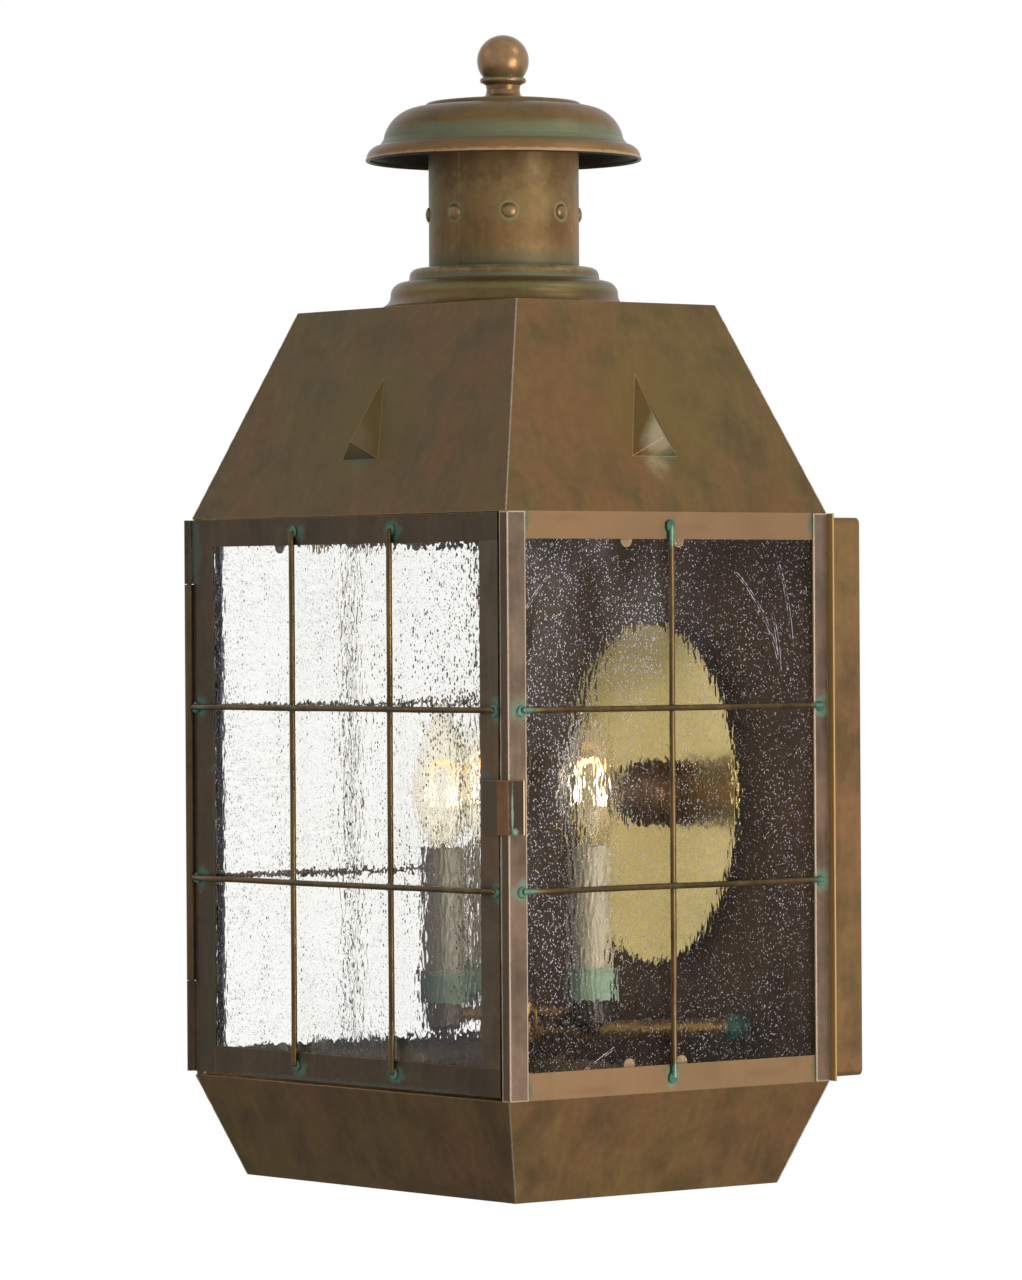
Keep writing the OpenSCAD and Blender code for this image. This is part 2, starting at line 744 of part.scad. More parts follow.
// A clip that holds a pane of thickness pane_t at its top edge.
// The rail's inner face is z = 0, its window edge is y = 0, the pane's edge is y = lap.
module glass_clip(lap) {
    over = pane_t + clip_t;
    edge = lap + 2 * seat_gap;
    tip = clip_w / 2 - clip_show;
    block([-clip_w / 2, clip_w / 2], [edge, lap + clip_foot], [0, clip_t]);
    block([-clip_w / 2, clip_w / 2], [edge, edge + clip_t], [0, over]);
    block([-clip_w / 2, clip_w / 2], [tip, edge + clip_t], [pane_t, over]);
    translate([0, tip, pane_t]) cylinder(h = clip_t, r = clip_w / 2);
}

module side_glass_clips() color(DARK_BRASS)
    for (x = [0, 1], z = [0, 1], y = [mid_y - clip_front, mid_y + clip_rear])
        mirror([x, 0, 0]) mirror([0, 0, z]) translate([half_w - sheet, y, rail_z])
            rotate([90, 0, -90]) union() glass_clip(pane_lap);

// A skin through rings of points, closed at both ends
module ring_skin(rings) {
    n = len(rings[0]);
    last = len(rings) - 1;
    polyhedron([for (ring = rings, p = ring) p], concat(
        [[for (j = [0:n - 1]) j]], [[for (j = [n - 1:-1:0]) last * n + j]],
        [for (i = [0:last - 1], j = [0:n - 1]) let (k = (j + 1) % n)
            [i * n + j, (i + 1) * n + j, i * n + k]],
        [for (i = [0:last - 1], j = [0:n - 1]) let (k = (j + 1) % n)
            [i * n + k, (i + 1) * n + j, (i + 1) * n + k]]));
}

// A cross wire through points that run along x. It is level but for its bent ends.
module wire(path) {
    ring_skin([for (p = path) [for (j = [0:15]) p + bar_r * [0, cos(22.5 * j), sin(22.5 * j)]]]);
}

// One upright and two cross bars over it, soldered together, on the right side.
// The front ends of the cross bars lie on a face at front_x.
module side_bars(front_x) {
    low_x = half_w + bar_r;
    over_x = low_x + 2 * bar_r - solder_bite;
    x0 = front_x + bar_r;
    x1 = post_x + bar_r;
    y0 = front_y + bar_front;
    y1 = back_y - bar_rear;
    bend = bar_end + bar_bend;
    union() {
        bar([low_x, mid_y, -rail_z - bar_lap], [low_x, mid_y, rail_z + bar_lap], bar_r);
        for (z = [bar_high, -bar_low])
            rotate([0, 0, 90]) wire([[y0, -x0, z], [y0 + bar_end, -x0, z], [y0 + bend, -over_x, z],
                [y1 - bend, -over_x, z], [y1 - bar_end, -x1, z], [y1, -x1, z]]);
    }
}

module window_bars_right() color(BRASS) side_bars(post_x);

// On the left the front ends are soldered over the hinge's leaf
module window_bars_left() color(BRASS) mirror([1, 0, 0]) side_bars(post_x + sheet);

// The oval dish: a flat middle for the knob, then a rise towards the rim
function dish_ring(s, y) = [for (j = [0:47]) let (a = 360 * j / 48)
    [s * reflector_w / 2 * cos(a), y, s * reflector_h / 2 * sin(a)]];
function dish_rise(s) = let (flat = reflector_flat / reflector_w)
    reflector_d * pow(max(0, s - flat) / (1 - flat), 2);

module reflector() color(BRIGHT_BRASS) difference() {
    steps = [for (i = [0:5]) let (flat = reflector_flat / reflector_w) flat + (1 - flat) * i / 5];
    ring_skin(concat(
        [for (s = steps) dish_ring(s, back_y - dish_rise(s))],
        [for (s = reversed(steps)) dish_ring(s, back_y - reflector_t - dish_rise(s))]));
    bore_y(0, 0, nipple_r + seat_gap, back_y - reflector_d - cut, back_y + cut);
}

// Puts a child at one candle
module at_lamp(angle) {
    translate([lamp_ring_r * cos(angle), mid_y + lamp_ring_r * sin(angle), 0]) children();
}

// The turned hub that joins the arms
module cluster_hub() color(BRASS) translate([0, mid_y, hub_low]) rotate_extrude()
    polygon(concat(arc([0, -hub_drop_r], hub_drop_r, -90, 0), [[hub_r - 5, 0], [hub_r, hub_drop_r],
        [hub_r, hub_h], [hub_r - hub_drop_r, hub_h + 1.5], [0, hub_h + 4]]));

module candle_arms() color(BRASS)
    for (angle = lamp_angles) difference() {
        bar([0, mid_y, arm_z],
            [lamp_ring_r * cos(angle), mid_y + lamp_ring_r * sin(angle), arm_z], arm_r);
        translate([0, mid_y, arm_z]) cylinder(h = deep, r = hub_r + seat_gap, center = true);
        at_lamp(angle) translate([0, 0, arm_z]) cylinder(h = deep, r = base_r + seat_gap, center = true);
    }

// The turned seats under the cups
module candle_bases() color(DARK_BRASS)
    for (angle = lamp_angles) at_lamp(angle) translate([0, 0, lamp_z - base_h]) rotate_extrude()
        polygon(concat([[0, 0]], arc([0, 4], 4, -80, 0), [[base_r - 1, 6], [base_r, 7.5],
            [base_r, base_h - 1], [base_r - 1, base_h], [0, base_h]]));

module candle_cup(angle) color(VERDIGRIS) at_lamp(angle) translate([0, 0, lamp_z]) difference() {
    union() {
        cylinder(h = cup_h, r = cup_r);
        translate([0, 0, cup_h - 1.5]) cylinder(h = 1.5, r = cup_r + 0.6);
    }
    translate([0, 0, cup_floor]) cylinder(h = cup_h, r = cup_inner_r);
}

module candle_cup_left() candle_cup(lamp_angles[0]);
module candle_cup_right() candle_cup(lamp_angles[1]);
module candle_cup_front() candle_cup(lamp_angles[2]);

module candle_sleeve(angle) color("#d8cfb4") at_lamp(angle) translate([0, 0, sleeve_z]) difference() {
    cylinder(h = sleeve_h, r = sleeve_r);
    translate([0, 0, -cut]) cylinder(h = sleeve_h + 2 * cut, r = sleeve_r - sleeve_wall);
}

module candle_sleeve_left() candle_sleeve(lamp_angles[0]);
module candle_sleeve_right() candle_sleeve(lamp_angles[1]);
module candle_sleeve_front() candle_sleeve(lamp_angles[2]);

module lamp_sockets() color("#5a4632")
    for (angle = lamp_angles) at_lamp(angle) difference() {
        translate([0, 0, sleeve_z]) cylinder(h = socket_top - sleeve_z, r = socket_r);
        translate([0, 0, screw_z]) cylinder(h = socket_top - screw_z + cut, r = screw_r + 0.3);
    }

// Outline of a bulb's glass, from its neck to its pointed tip, moved in by t
function bulb_outline(t) = let (neck_r = screw_r + 0.6 - t, neck_h = 4, tip_r = 1.2 - t) concat(
    [[neck_r - 0.3, 0], [neck_r, neck_h]],
    [for (i = [1:8]) let (f = i / 8)
        [neck_r + (bulb_r - t - neck_r) * (1 - pow(1 - f, 2)), neck_h + (bulb_belly - neck_h) * f]],
    [for (i = [1:10]) let (f = i / 10)
        [max(tip_r, (bulb_r - t) * (1 - pow(f, 2.2)) * (1 - 0.12 * sin(180 * f))),
         bulb_belly + (bulb_h - t - bulb_belly) * f]]);

module bulb(angle) color("#f3e6c080") at_lamp(angle) translate([0, 0, bulb_z]) rotate_extrude()
    polygon(concat(bulb_outline(0), [[0, bulb_h]], [[0, bulb_h - bulb_t]],
        reversed(bulb_outline(bulb_t))));

module bulb_left() bulb(lamp_angles[0]);
module bulb_right() bulb(lamp_angles[1]);
module bulb_front() bulb(lamp_angles[2]);

module bulb_bases() color(STEEL)
    for (angle = lamp_angles) at_lamp(angle) translate([0, 0, screw_z]) rotate_extrude()
        polygon([[0, 0], [2.5, 0], [screw_r, 4], [screw_r, screw_l], [0, screw_l]]);

// A glass stem in each bulb, with two leads that hold a filament bent over like a hairpin
module bulb_filaments() color("#ffd680") {
    lead_r = 0.45;
    leg_z = stem_h + lead_rise;
    for (angle = lamp_angles) at_lamp(angle) translate([0, 0, bulb_z]) rotate([0, 0, filament_turn]) {
        cylinder(h = stem_h, r = stem_r);
        for (x = [-filament_x, filament_x]) {
            bar([x / filament_x, 0, stem_h - lead_r], [x, 0, leg_z + lead_r], lead_r);
            translate([x, 0, leg_z]) cylinder(h = filament_leg, r = filament_r);
        }
        translate([0, 0, leg_z + filament_leg]) rotate([90, 0, 0])
            rotate_extrude(angle = 180) translate([filament_x, 0]) circle(r = filament_r, $fn = 24);
    }
}

// A tube from the hub to each foot, its ends fitted round both
module bracket_arms() color(BRIGHT_BRASS)
    for (x = [-bracket_x, bracket_x]) difference() {
        bar([0, mid_y, bracket_z], [x, foot_y, bracket_z], bracket_r);
        translate([0, mid_y, bracket_z]) cylinder(h = deep, r = hub_r + seat_gap, center = true);
        translate([x, foot_y, bracket_z]) sphere(r = foot_r + seat_gap);
    }

// A ball on a stem that is riveted through the rear sheet
module bracket_feet() color(VERDIGRIS)
    for (x = [-bracket_x, bracket_x]) union() {
        translate([x, foot_y, bracket_z]) sphere(r = foot_r);
        bore_y(x, bracket_z, foot_r * 0.62, foot_y, back_y);
        bore_y(x, bracket_z, foot_r / 2 - seat_gap, foot_y, back_y + sheet - 0.1);
    }

module knuckle(z0, z1) {
    translate([hinge_x, hinge_y, z0]) cylinder(h = z1 - z0, r = knuckle_r);
}

module hinge_bore() {
    translate([hinge_x, hinge_y, -half_h - cut]) cylinder(h = stage_h + 2 * cut, r = pin_r + pin_fit);
}

// The middle knuckle, with its leaf soldered to the post's side
module hinge_leaf() color(BRASS) difference() {
    union() {
        block([-post_x - sheet, -post_x], [hinge_y, hinge_y + leaf_w], [leaf_bottom, leaf_top]);
        knuckle(leaf_bottom, leaf_top);
    }
    hinge_bore();
}

module hinge_pin() color(STEEL)
    translate([hinge_x, hinge_y, door_bottom + 0.2])
        cylinder(h = door_top - door_bottom - 0.4, r = pin_r);

// The hinge stile, with the two outer knuckles rolled from its ends
module door_stile_hinge() color(BRASS) difference() {
    union() {
        block([stile_left, window_left], [front_y, door_back], [door_bottom, window_top]);
        block([tab_left, stile_left], [front_y, door_back],
            [leaf_top + knuckle_gap, window_top]);
        block([tab_left, stile_left], [front_y, door_back],
            [door_bottom, leaf_bottom - knuckle_gap]);
        knuckle(leaf_top + knuckle_gap, door_top);
        knuckle(door_bottom, leaf_bottom - knuckle_gap);
    }
    hinge_bore();
}

module door_stile_latch() color(BRASS)
    block([window_right, door_right], [front_y, door_back], [window_bottom, window_top]);

module door_rail_top() color(BRASS)
    block([-post_x + 0.2, door_right], [front_y, door_back], [window_top, door_top]);

module door_rail_bottom() color(BRASS)
    block([window_left, door_right], [front_y, door_back], [door_bottom, window_bottom]);

module door_glass() color(PANE)
    block([window_left - pane_lap, window_right + pane_lap], [door_back, door_back + pane_t],
        [window_bottom - pane_lap, window_top + pane_lap]);

module door_glass_clips() color(DARK_BRASS)
    for (x = [window_mid - door_clip_x, window_mid + door_clip_x]) {
        translate([x, door_back, window_top]) rotate([90, 0, 0]) mirror([0, 0, 1])
            union() glass_clip(pane_lap);
        translate([x, door_back, window_bottom]) rotate([-90, 0, 0])
            union() glass_clip(pane_lap);
    }

// Two uprights and two cross bars over them, on the door's face
module door_bars() color(BRASS) {
    low_y = front_y - bar_r;
    over_y = low_y - 2 * bar_r + solder_bite;
    x0 = stile_left - bar_over;
    x1 = door_right - bar_inset;
    bend = bar_end + bar_bend;
    union() {
        for (x = [window_mid - door_bar_x, window_mid + door_bar_x])
            bar([x, low_y, window_bottom - bar_lap], [x, low_y, window_top + bar_lap], bar_r);
        for (z = [bar_high, -bar_low])
            wire([[x0, low_y, z], [x0 + bar_end, low_y, z], [x0 + bend, over_y, z],
                [x1 - bend, over_y, z], [x1 - bar_end, low_y, z], [x1, low_y, z]]);
    }
}

// A spring clip on the latch stile that grips the post round its corner
module latch_clip() color(BRASS) {
    z = [-latch_h / 2 - latch_drop, latch_h / 2 - latch_drop];
    y0 = latch_face - latch_t;
    y1 = y0 + latch_side_l;
    x1 = latch_x + latch_t;
    block([x1 - latch_foot_l, x1], [y0, latch_face], z);
    block([latch_x, x1], [y0, y1], z);
    translate([0, 0, z[0]]) linear_extrude(latch_h)
        polygon([[latch_x, y1 - 0.5], [x1, y1 - 0.5], [x1 + latch_lip, y1 - 0.5 + latch_lip_l],
            [latch_x + latch_lip, y1 - 0.5 + latch_lip_l]]);
}

back_pan();
rear_wall();
mounting_strap();
fixing_nipple();
fixing_knob();
post_front_left();
post_front_right();
post_rear_left();
post_rear_right();
roof_front();
roof_right();
roof_rear();
roof_left();
roof_plate();
skirt_front();
skirt_right();
skirt_rear();
skirt_left();
bottom_plate();
chimney_ring();
chimney();
chimney_rivets();
cap_bridge();
cap_rod();
cap_rod_nuts();
vent_cap();
finial();
glass_left();
glass_right();
side_glass_clips();
window_bars_left();
window_bars_right();
reflector();
bracket_arms();
bracket_feet();
cluster_hub();
candle_arms();
candle_bases();
candle_cup_left();
candle_cup_right();
candle_cup_front();
candle_sleeve_left();
candle_sleeve_right();
candle_sleeve_front();
lamp_sockets();
bulb_left();
bulb_right();
bulb_front();
bulb_bases();
bulb_filaments();
hinge_leaf();
hinge_pin();
door_stile_hinge();
door_stile_latch();
door_rail_top();
door_rail_bottom();
door_glass();
door_glass_clips();
door_bars();
latch_clip();
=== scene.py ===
import math

import bmesh
import bpy
from mathutils import Matrix, Vector, noise


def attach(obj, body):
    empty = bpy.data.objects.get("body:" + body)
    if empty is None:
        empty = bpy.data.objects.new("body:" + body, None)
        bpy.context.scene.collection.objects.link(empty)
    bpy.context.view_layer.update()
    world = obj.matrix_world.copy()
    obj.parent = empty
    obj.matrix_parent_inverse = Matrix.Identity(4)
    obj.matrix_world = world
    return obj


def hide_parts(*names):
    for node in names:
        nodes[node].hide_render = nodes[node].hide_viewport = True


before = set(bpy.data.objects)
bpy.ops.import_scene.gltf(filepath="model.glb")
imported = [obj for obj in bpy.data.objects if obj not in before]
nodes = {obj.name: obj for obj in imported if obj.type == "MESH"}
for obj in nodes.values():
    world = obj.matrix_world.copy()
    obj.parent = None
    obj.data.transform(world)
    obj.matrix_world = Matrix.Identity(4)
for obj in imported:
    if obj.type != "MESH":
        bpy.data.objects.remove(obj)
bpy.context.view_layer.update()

# Camera. It stands level with the upper half of the glass and sees the door and the right side
# at about 40 degrees, as in the photograph.
view_yaw, view_pitch, view_roll = (math.radians(a) for a in (51.087, -0.166, -0.339))
view_from = Vector((2.3968, -2.0514, 0.0873))
focal_px, frame_h_px = 6165.8, 1280

ahead = Vector((-math.sin(view_yaw) * math.cos(view_pitch),
                math.cos(view_yaw) * math.cos(view_pitch), math.sin(view_pitch)))
level = Vector((math.cos(view_yaw), math.sin(view_yaw), 0))
above = level.cross(ahead)
right = level * math.cos(view_roll) + above * math.sin(view_roll)
up = above * math.cos(view_roll) - level * math.sin(view_roll)

camera = bpy.data.objects.new("camera", bpy.data.cameras.new("camera"))
bpy.context.scene.collection.objects.link(camera)
camera.matrix_world = Matrix.Translation(view_from) @ Matrix((right, up, -ahead)).transposed().to_4x4()
camera.data.sensor_fit = "VERTICAL"
camera.data.sensor_height = 36
camera.data.lens = 36 * focal_px / frame_h_px
camera.data.clip_end = 50
bpy.context.scene.camera = camera
bpy.context.scene.view_settings.view_transform = "Standard"


# Studio. A white room with a pale painted floor, a large soft box at the right, a smaller one high on
# the right, and a weak one in front on the left.
def linear(hex_colour):
    """An sRGB hex colour as linear red, green and blue, with an alpha of 1."""
    parts = [int(hex_colour[i:i + 2], 16) / 255 for i in (1, 3, 5)]
    return [c / 12.92 if c <= 0.04045 else ((c + 0.055) / 1.055) ** 2.4 for c in parts] + [1]


def add(tree, kind, inputs=None, **settings):
    """Adds a node with its settings, and links or sets its inputs. A node stands for its first live output."""
    made = tree.nodes.new("ShaderNode" + kind)
    for name, value in settings.items():
        setattr(made, name, value)
    for name, value in (inputs or {}).items():
        if isinstance(value, bpy.types.Node):
            value = next(out for out in value.outputs if out.enabled)
        if isinstance(value, bpy.types.NodeSocket):
            tree.links.new(value, made.inputs[name])
        else:
            made.inputs[name].default_value = value
    return made


room_light = 0.31
world = bpy.data.worlds.new("studio")
bpy.context.scene.world = world
world.use_nodes = True
sky = world.node_tree
sky.nodes.clear()
ray = add(sky, "LightPath")
seen = add(sky, "Math", {0: ray.outputs["Is Camera Ray"], 1: ray.outputs["Is Glossy Ray"]}, operation="MAXIMUM")
seen = add(sky, "Math", {0: seen, 1: ray.outputs["Is Transmission Ray"]}, operation="MAXIMUM")
first = add(sky, "Math", {0: ray.outputs["Diffuse Depth"], 1: 0.5}, operation="LESS_THAN")
seen = add(sky, "Math", {0: seen, 1: first}, operation="MULTIPLY")
strength = add(sky, "MapRange", {"Value": seen, "To Min": room_light, "To Max": 1.0})
backdrop = add(sky, "Background", {"Color": (1, 1, 1, 1), "Strength": strength})
add(sky, "OutputWorld", {"Surface": backdrop})


def new_material(name):
    """An empty material, its tree, and the place of each point in metres."""
    material = bpy.data.materials.new(name)
    material.use_nodes = True
    material.node_tree.nodes.clear()
    return material, material.node_tree, add(material.node_tree, "TexCoord").outputs["Object"]


def surface(tree, inputs):
    """Closes a material with a Principled shader."""
    add(tree, "OutputMaterial", {"Surface": add(tree, "BsdfPrincipled", inputs)})


def mottled(name, dark, light, patch_mm, detail):
    """A material of two close tones in patches of a size in millimetres, with its tree, the place of each
    point, its patches and its colour."""
    material, tree, where = new_material(name)
    patches = add(tree, "TexNoise", {"Vector": where, "Scale": 1000 / patch_mm, "Detail": detail})
    tint = add(tree, "Mix", {"Factor": patches, "A": linear(dark), "B": linear(light)}, data_type="RGBA")
    return material, tree, where, patches, tint


floor_drop, floor_half, lamps_aim = 0.95, 4.0, Vector((0, -0.12, 0.08))
floor_mesh = bpy.data.meshes.new("floor")
floor_mesh.from_pydata([(x * floor_half, y * floor_half, 0) for x, y in ((-1, -1), (1, -1), (1, 1), (-1, 1))],
                       [], [(0, 1, 2, 3)])
floor = bpy.data.objects.new("floor", floor_mesh)
floor.location.z = -floor_drop
bpy.context.scene.collection.objects.link(floor)
pale_floor, tree, _, _, tint = mottled("pale_floor_paint", "#e6e5e2", "#efeeeb", patch_mm=1000 / 3, detail=3.0)
surface(tree, {"Base Color": tint, "Roughness": 0.8})
floor_mesh.materials.append(pale_floor)

for name, place, size, watts, colour in (
        ("key_right", (2.6, 0.2, -0.15), 1.3, 52, "#fff6ea"),
        ("top_right", (1.66, 0.88, 1.85), 0.9, 8, "#fff8ee"),
        ("fill_front", (-1.3, -2.4, 1.7), 1.4, 5, "#fffdf8")):
    lamp = bpy.data.lights.new(name, "AREA")
    lamp.size = size
    lamp.energy = watts
    lamp.color = linear(colour)[:3]
    soft_box = bpy.data.objects.new(name, lamp)
    soft_box.location = place
    soft_box.rotation_euler = (lamps_aim - Vector(place)).to_track_quat("-Z", "Y").to_euler()
    bpy.context.scene.collection.objects.link(soft_box)


# Corner posts. Four angles folded from 1 mm yellow brass sheet stand at the corners of the body, soft
# soldered to the rails. The arrises are rubbed bright where hands and rain reach them, and their very pale
# tone is also a painted highlight along each bend.
mid_y = -119.5
bar_heights = (45.5, -40.5)


def stains(tree, point, places):
    """The way to the nearest stain, which is 1 at its edge. Each place is a middle and its radii in
    millimetres."""
    nearest = None
    for middle, radii in places:
        local = add(tree, "VectorMath", {0: point, 1: [1000 / r for r in radii],
                                         2: [-c / r for c, r in zip(middle, radii)]}, operation="MULTIPLY_ADD")
        gap = add(tree, "VectorMath", {0: local}, operation="LENGTH")
        nearest = gap if nearest is None else add(tree, "Math", {0: nearest, 1: gap}, operation="MINIMUM")
    return nearest


def spots(places):
    """A field of stains, mirrored in x."""
    def field(tree, where):
        split = add(tree, "SeparateXYZ", {0: where})
        folded = add(tree, "CombineXYZ", {0: add(tree, "Math", {0: split.outputs[0]}, operation="ABSOLUTE"),
                                          1: split.outputs[1], 2: split.outputs[2]})
        return stains(tree, folded, places)
    return field


def about_axis(tree, where):
    """The parts of each place, and its distance from the upright axis of the body."""
    split = add(tree, "SeparateXYZ", {0: where})
    depth = add(tree, "Math", {0: split.outputs[1], 1: -mid_y / 1000}, operation="ADD")
    flat = add(tree, "CombineXYZ", {0: split.outputs[0], 1: depth})
    return split, add(tree, "VectorMath", {0: flat}, operation="LENGTH")


def rings(places):
    """A field of ring stains about the upright axis. Each place is its radius, its height and how far it
    spreads, in millimetres."""
    def field(tree, where):
        split, radius = about_axis(tree, where)
        return stains(tree, add(tree, "CombineXYZ", {0: radius, 2: split.outputs[2]}),
                      [((ring_r, 0, ring_z), (spread, 1, spread)) for ring_r, ring_z, spread in places])
    return field


def past(axis, low_at, high_at, low=0.0, high=1.0, fold=False):
    """A field that goes from low to high between two places along an axis, in millimetres. fold mirrors it."""
    def field(tree, where):
        along = add(tree, "SeparateXYZ", {0: where}).outputs[axis]
        if fold:
            along = add(tree, "Math", {0: along}, operation="ABSOLUTE")
        return add(tree, "MapRange", {"Value": along, "From Min": low_at / 1000, "From Max": high_at / 1000,
                                      "To Min": low, "To Max": high})
    return field


def aged_brass(name, deep, mid, pale, blush, rubbed_and_glint_tone="#a88a5c", edge=0.5, rough=0.42, metal=0.5, marks=(),
               grime_and_shade=0.4, streaks=0.4, edge_round_mm=0.6, whole=0.35, gloss=0.18, spun=False):
    """Brass sheet left to age: four close tones, rubbed edges, whose very pale tone on the posts is also a
    painted highlight, grime and painted shade darkening the corners, and marks. A mark is a field, its colour,
    its strength, how ragged it is, and how far it takes the metal's shine away. whole is how much of the wear
    stays where the rubbed edge is broken. Spun work has its streaks round the axis."""
    material, tree, where = new_material(name)
    cloud_mm, patch_mm, mottle_mm, grain_mm, streak_mm, grime_shade_mm = 80, 24, 5, 0.9, 8, 5
    cloud = add(tree, "TexNoise", {"Vector": where, "Scale": 1000 / cloud_mm, "Detail": 3.0, "Roughness": 0.5})
    patch = add(tree, "TexNoise", {"Vector": where, "Scale": 1000 / patch_mm, "Detail": 5.0, "Roughness": 0.55})
    mottle = add(tree, "TexNoise", {"Vector": where, "Scale": 1000 / mottle_mm, "Detail": 5.0, "Roughness": 0.6})
    grain = add(tree, "TexNoise", {"Vector": where, "Scale": 1000 / grain_mm, "Detail": 2.0})
    if spun:
        split, radius = about_axis(tree, where)
        lean = add(tree, "Math", {0: split.outputs[0], 1: 0.05}, operation="MULTIPLY")
        long = add(tree, "CombineXYZ", {0: radius, 1: lean, 2: split.outputs[2]})
        streak_mm = 3.2
    else:
        long = add(tree, "Mapping", {"Vector": where, "Scale": (1, 1, 0.14)})
    streak = add(tree, "TexNoise", {"Vector": long, "Scale": 1000 / streak_mm, "Detail": 5.0, "Roughness": 0.62})

    hue = add(tree, "MapRange", {"Value": cloud, "From Min": 0.4, "From Max": 0.64})
    skin = add(tree, "Mix", {"Factor": hue, "A": linear(mid), "B": linear(blush)}, data_type="RGBA")
    dusk = add(tree, "MapRange", {"Value": patch, "From Min": 0.56, "From Max": 0.34, "To Max": 0.8})
    skin = add(tree, "Mix", {"Factor": dusk, "A": skin, "B": linear(deep)}, data_type="RGBA")
    gleam = add(tree, "MapRange", {"Value": streak, "From Min": 0.48, "From Max": 0.74, "To Max": streaks})
    skin = add(tree, "Mix", {"Factor": gleam, "A": skin, "B": linear(pale)}, data_type="RGBA")
    fleck = add(tree, "MapRange", {"Value": mottle, "From Min": 0.3, "From Max": 0.7, "To Min": 0.9,
                                   "To Max": 1.1})
    colour = add(tree, "HueSaturation", {"Color": skin, "Value": fleck})

    shine = metal
    for field, tint, amount, ragged, dull in marks:
        uneven = add(tree, "MapRange", {"Value": mottle, "From Min": 0.3, "From Max": 0.7, "To Min": -ragged,
                                        "To Max": ragged})
        gap = add(tree, "Math", {0: field(tree, where), 1: uneven}, operation="ADD")
        mask = add(tree, "MapRange", {"Value": gap, "From Min": 1.0, "From Max": 0.25, "To Max": amount},
                   interpolation_type="SMOOTHSTEP")
        colour = add(tree, "Mix", {"Factor": mask, "A": colour, "B": linear(tint)}, data_type="RGBA")
        kept = add(tree, "Math", {0: mask, 1: -dull, 2: 1.0}, operation="MULTIPLY_ADD")
        shine = add(tree, "Math", {0: shine, 1: kept}, operation="MULTIPLY")

    # Rubbed edges turn paler; where the edge tone is very pale it also stands in for a painted highlight.
    rounded = add(tree, "Bevel", {"Radius": edge_round_mm / 1000}, samples=4)
    bend = add(tree, "VectorMath", {0: rounded, 1: add(tree, "NewGeometry").outputs["Normal"]},
               operation="DOT_PRODUCT")
    rubbed_and_glint = add(tree, "MapRange", {"Value": bend, "From Min": 0.994, "From Max": 0.9, "To Max": edge})
    broken = add(tree, "MapRange", {"Value": mottle, "From Min": 0.34, "From Max": 0.48, "To Min": whole})
    rubbed_and_glint = add(tree, "Math", {0: rubbed_and_glint, 1: broken}, operation="MULTIPLY")
    colour = add(tree, "Mix", {"Factor": rubbed_and_glint, "A": colour, "B": linear(rubbed_and_glint_tone)}, data_type="RGBA")

    # Grime and painted shade: the colour darkens where ambient occlusion finds corners and gaps between parts.
    occlusion = add(tree, "AmbientOcclusion", {"Distance": grime_shade_mm / 1000}, samples=4)
    grime_and_shade_mask = add(tree, "MapRange", {"Value": occlusion.outputs["AO"], "From Min": 0.8, "From Max": 0.3,
                                  "To Max": grime_and_shade})
    colour = add(tree, "Mix", {"Factor": grime_and_shade_mask, "A": colour, "B": linear("#2a2118")}, data_type="RGBA")

    matt = add(tree, "MapRange", {"Value": patch, "From Min": 0.3, "From Max": 0.7, "To Min": rough - 0.05,
                                  "To Max": rough + 0.07})
    dent = add(tree, "Bump", {"Height": patch, "Distance": 0.0006, "Strength": 0.5, "Normal": rounded})
    pit = add(tree, "Bump", {"Height": mottle, "Distance": 0.00015, "Strength": 0.4, "Normal": dent})
    tooth = add(tree, "Bump", {"Height": grain, "Distance": 0.00002, "Strength": 0.5, "Normal": pit})
    surface(tree, {"Base Color": colour, "Metallic": shine, "Roughness": matt, "Specular IOR Level": gloss,
                   "Normal": tooth})
    return material


def dress(material, *names):
    """Gives CAD nodes their material."""
    for name in names:
        nodes[name].data.materials.clear()
        nodes[name].data.materials.append(material)


verdigris, old_verdigris = "#5c9582", "#476354"
wire_feet = spots([((127, y, z), (9, 9, 8)) for y in (-212, -25) for z in bar_heights])
post_joints = spots([((127, y, z), (3, 2.5, 10))
                     for y, z in ((-209, 134), (-209, -134), (-27.5, 133), (-27.5, -133))])
# The front faces of the posts are painted darker, as shade.
front_face_shade = past(1, -220.9, -220.4)
# The very pale edge tone here is both rubbed brass and a painted highlight.
post_brass = aged_brass(
    "aged_brass_angle", "#4b3f33", "#66574a", "#827164", "#705c4d", rubbed_and_glint_tone="#ffe6c8", edge=1.0, edge_round_mm=1.3,
    whole=0.9, marks=[(wire_feet, verdigris, 0.5, 0.35, 0.8), (post_joints, old_verdigris, 0.7, 0.3, 0.8),
                      (front_face_shade, "#4b3a27", 0.6, 0.1, 0.0)])
dress(post_brass, "post_front_left", "post_front_right", "post_rear_left", "post_rear_right")

# Back. A folded brass pan stands against the wall, with the flat rear sheet of the body soldered over it.
# Rain keeps off most of it, so it stays duller and browner than the front.
back_brass = aged_brass("aged_brass_back_sheet", "#54442b", "#6e5737", "#806743", "#725539", rough=0.48,
                        grime_and_shade=0.15)
dress(back_brass, "back_pan")
# The strips of the rear sheet that stand out past the posts are painted pale, as a highlight along their edges.
beyond_posts = past(0, 127.5, 127, fold=True)
rear_brass = aged_brass("aged_brass_rear_sheet", "#4a3a2a", "#5f4a36", "#745c44", "#684e37", rubbed_and_glint_tone="#b08c5e",
                        edge=1.0, edge_round_mm=1.2, whole=0.8, rough=0.55, grime_and_shade=0.1,
                        marks=[(beyond_posts, "#c5a066", 0.95, 0.1, 0.0)])
dress(rear_brass, "rear_wall")
# The roof and bottom plates take a darker copy of the brass, as painted shade.
shade_brass = aged_brass("shade_darkened_brass_sheet", "#43382a", "#584935", "#6b5a40", "#5d4934", rough=0.5)
dress(shade_brass, "roof_plate", "bottom_plate")


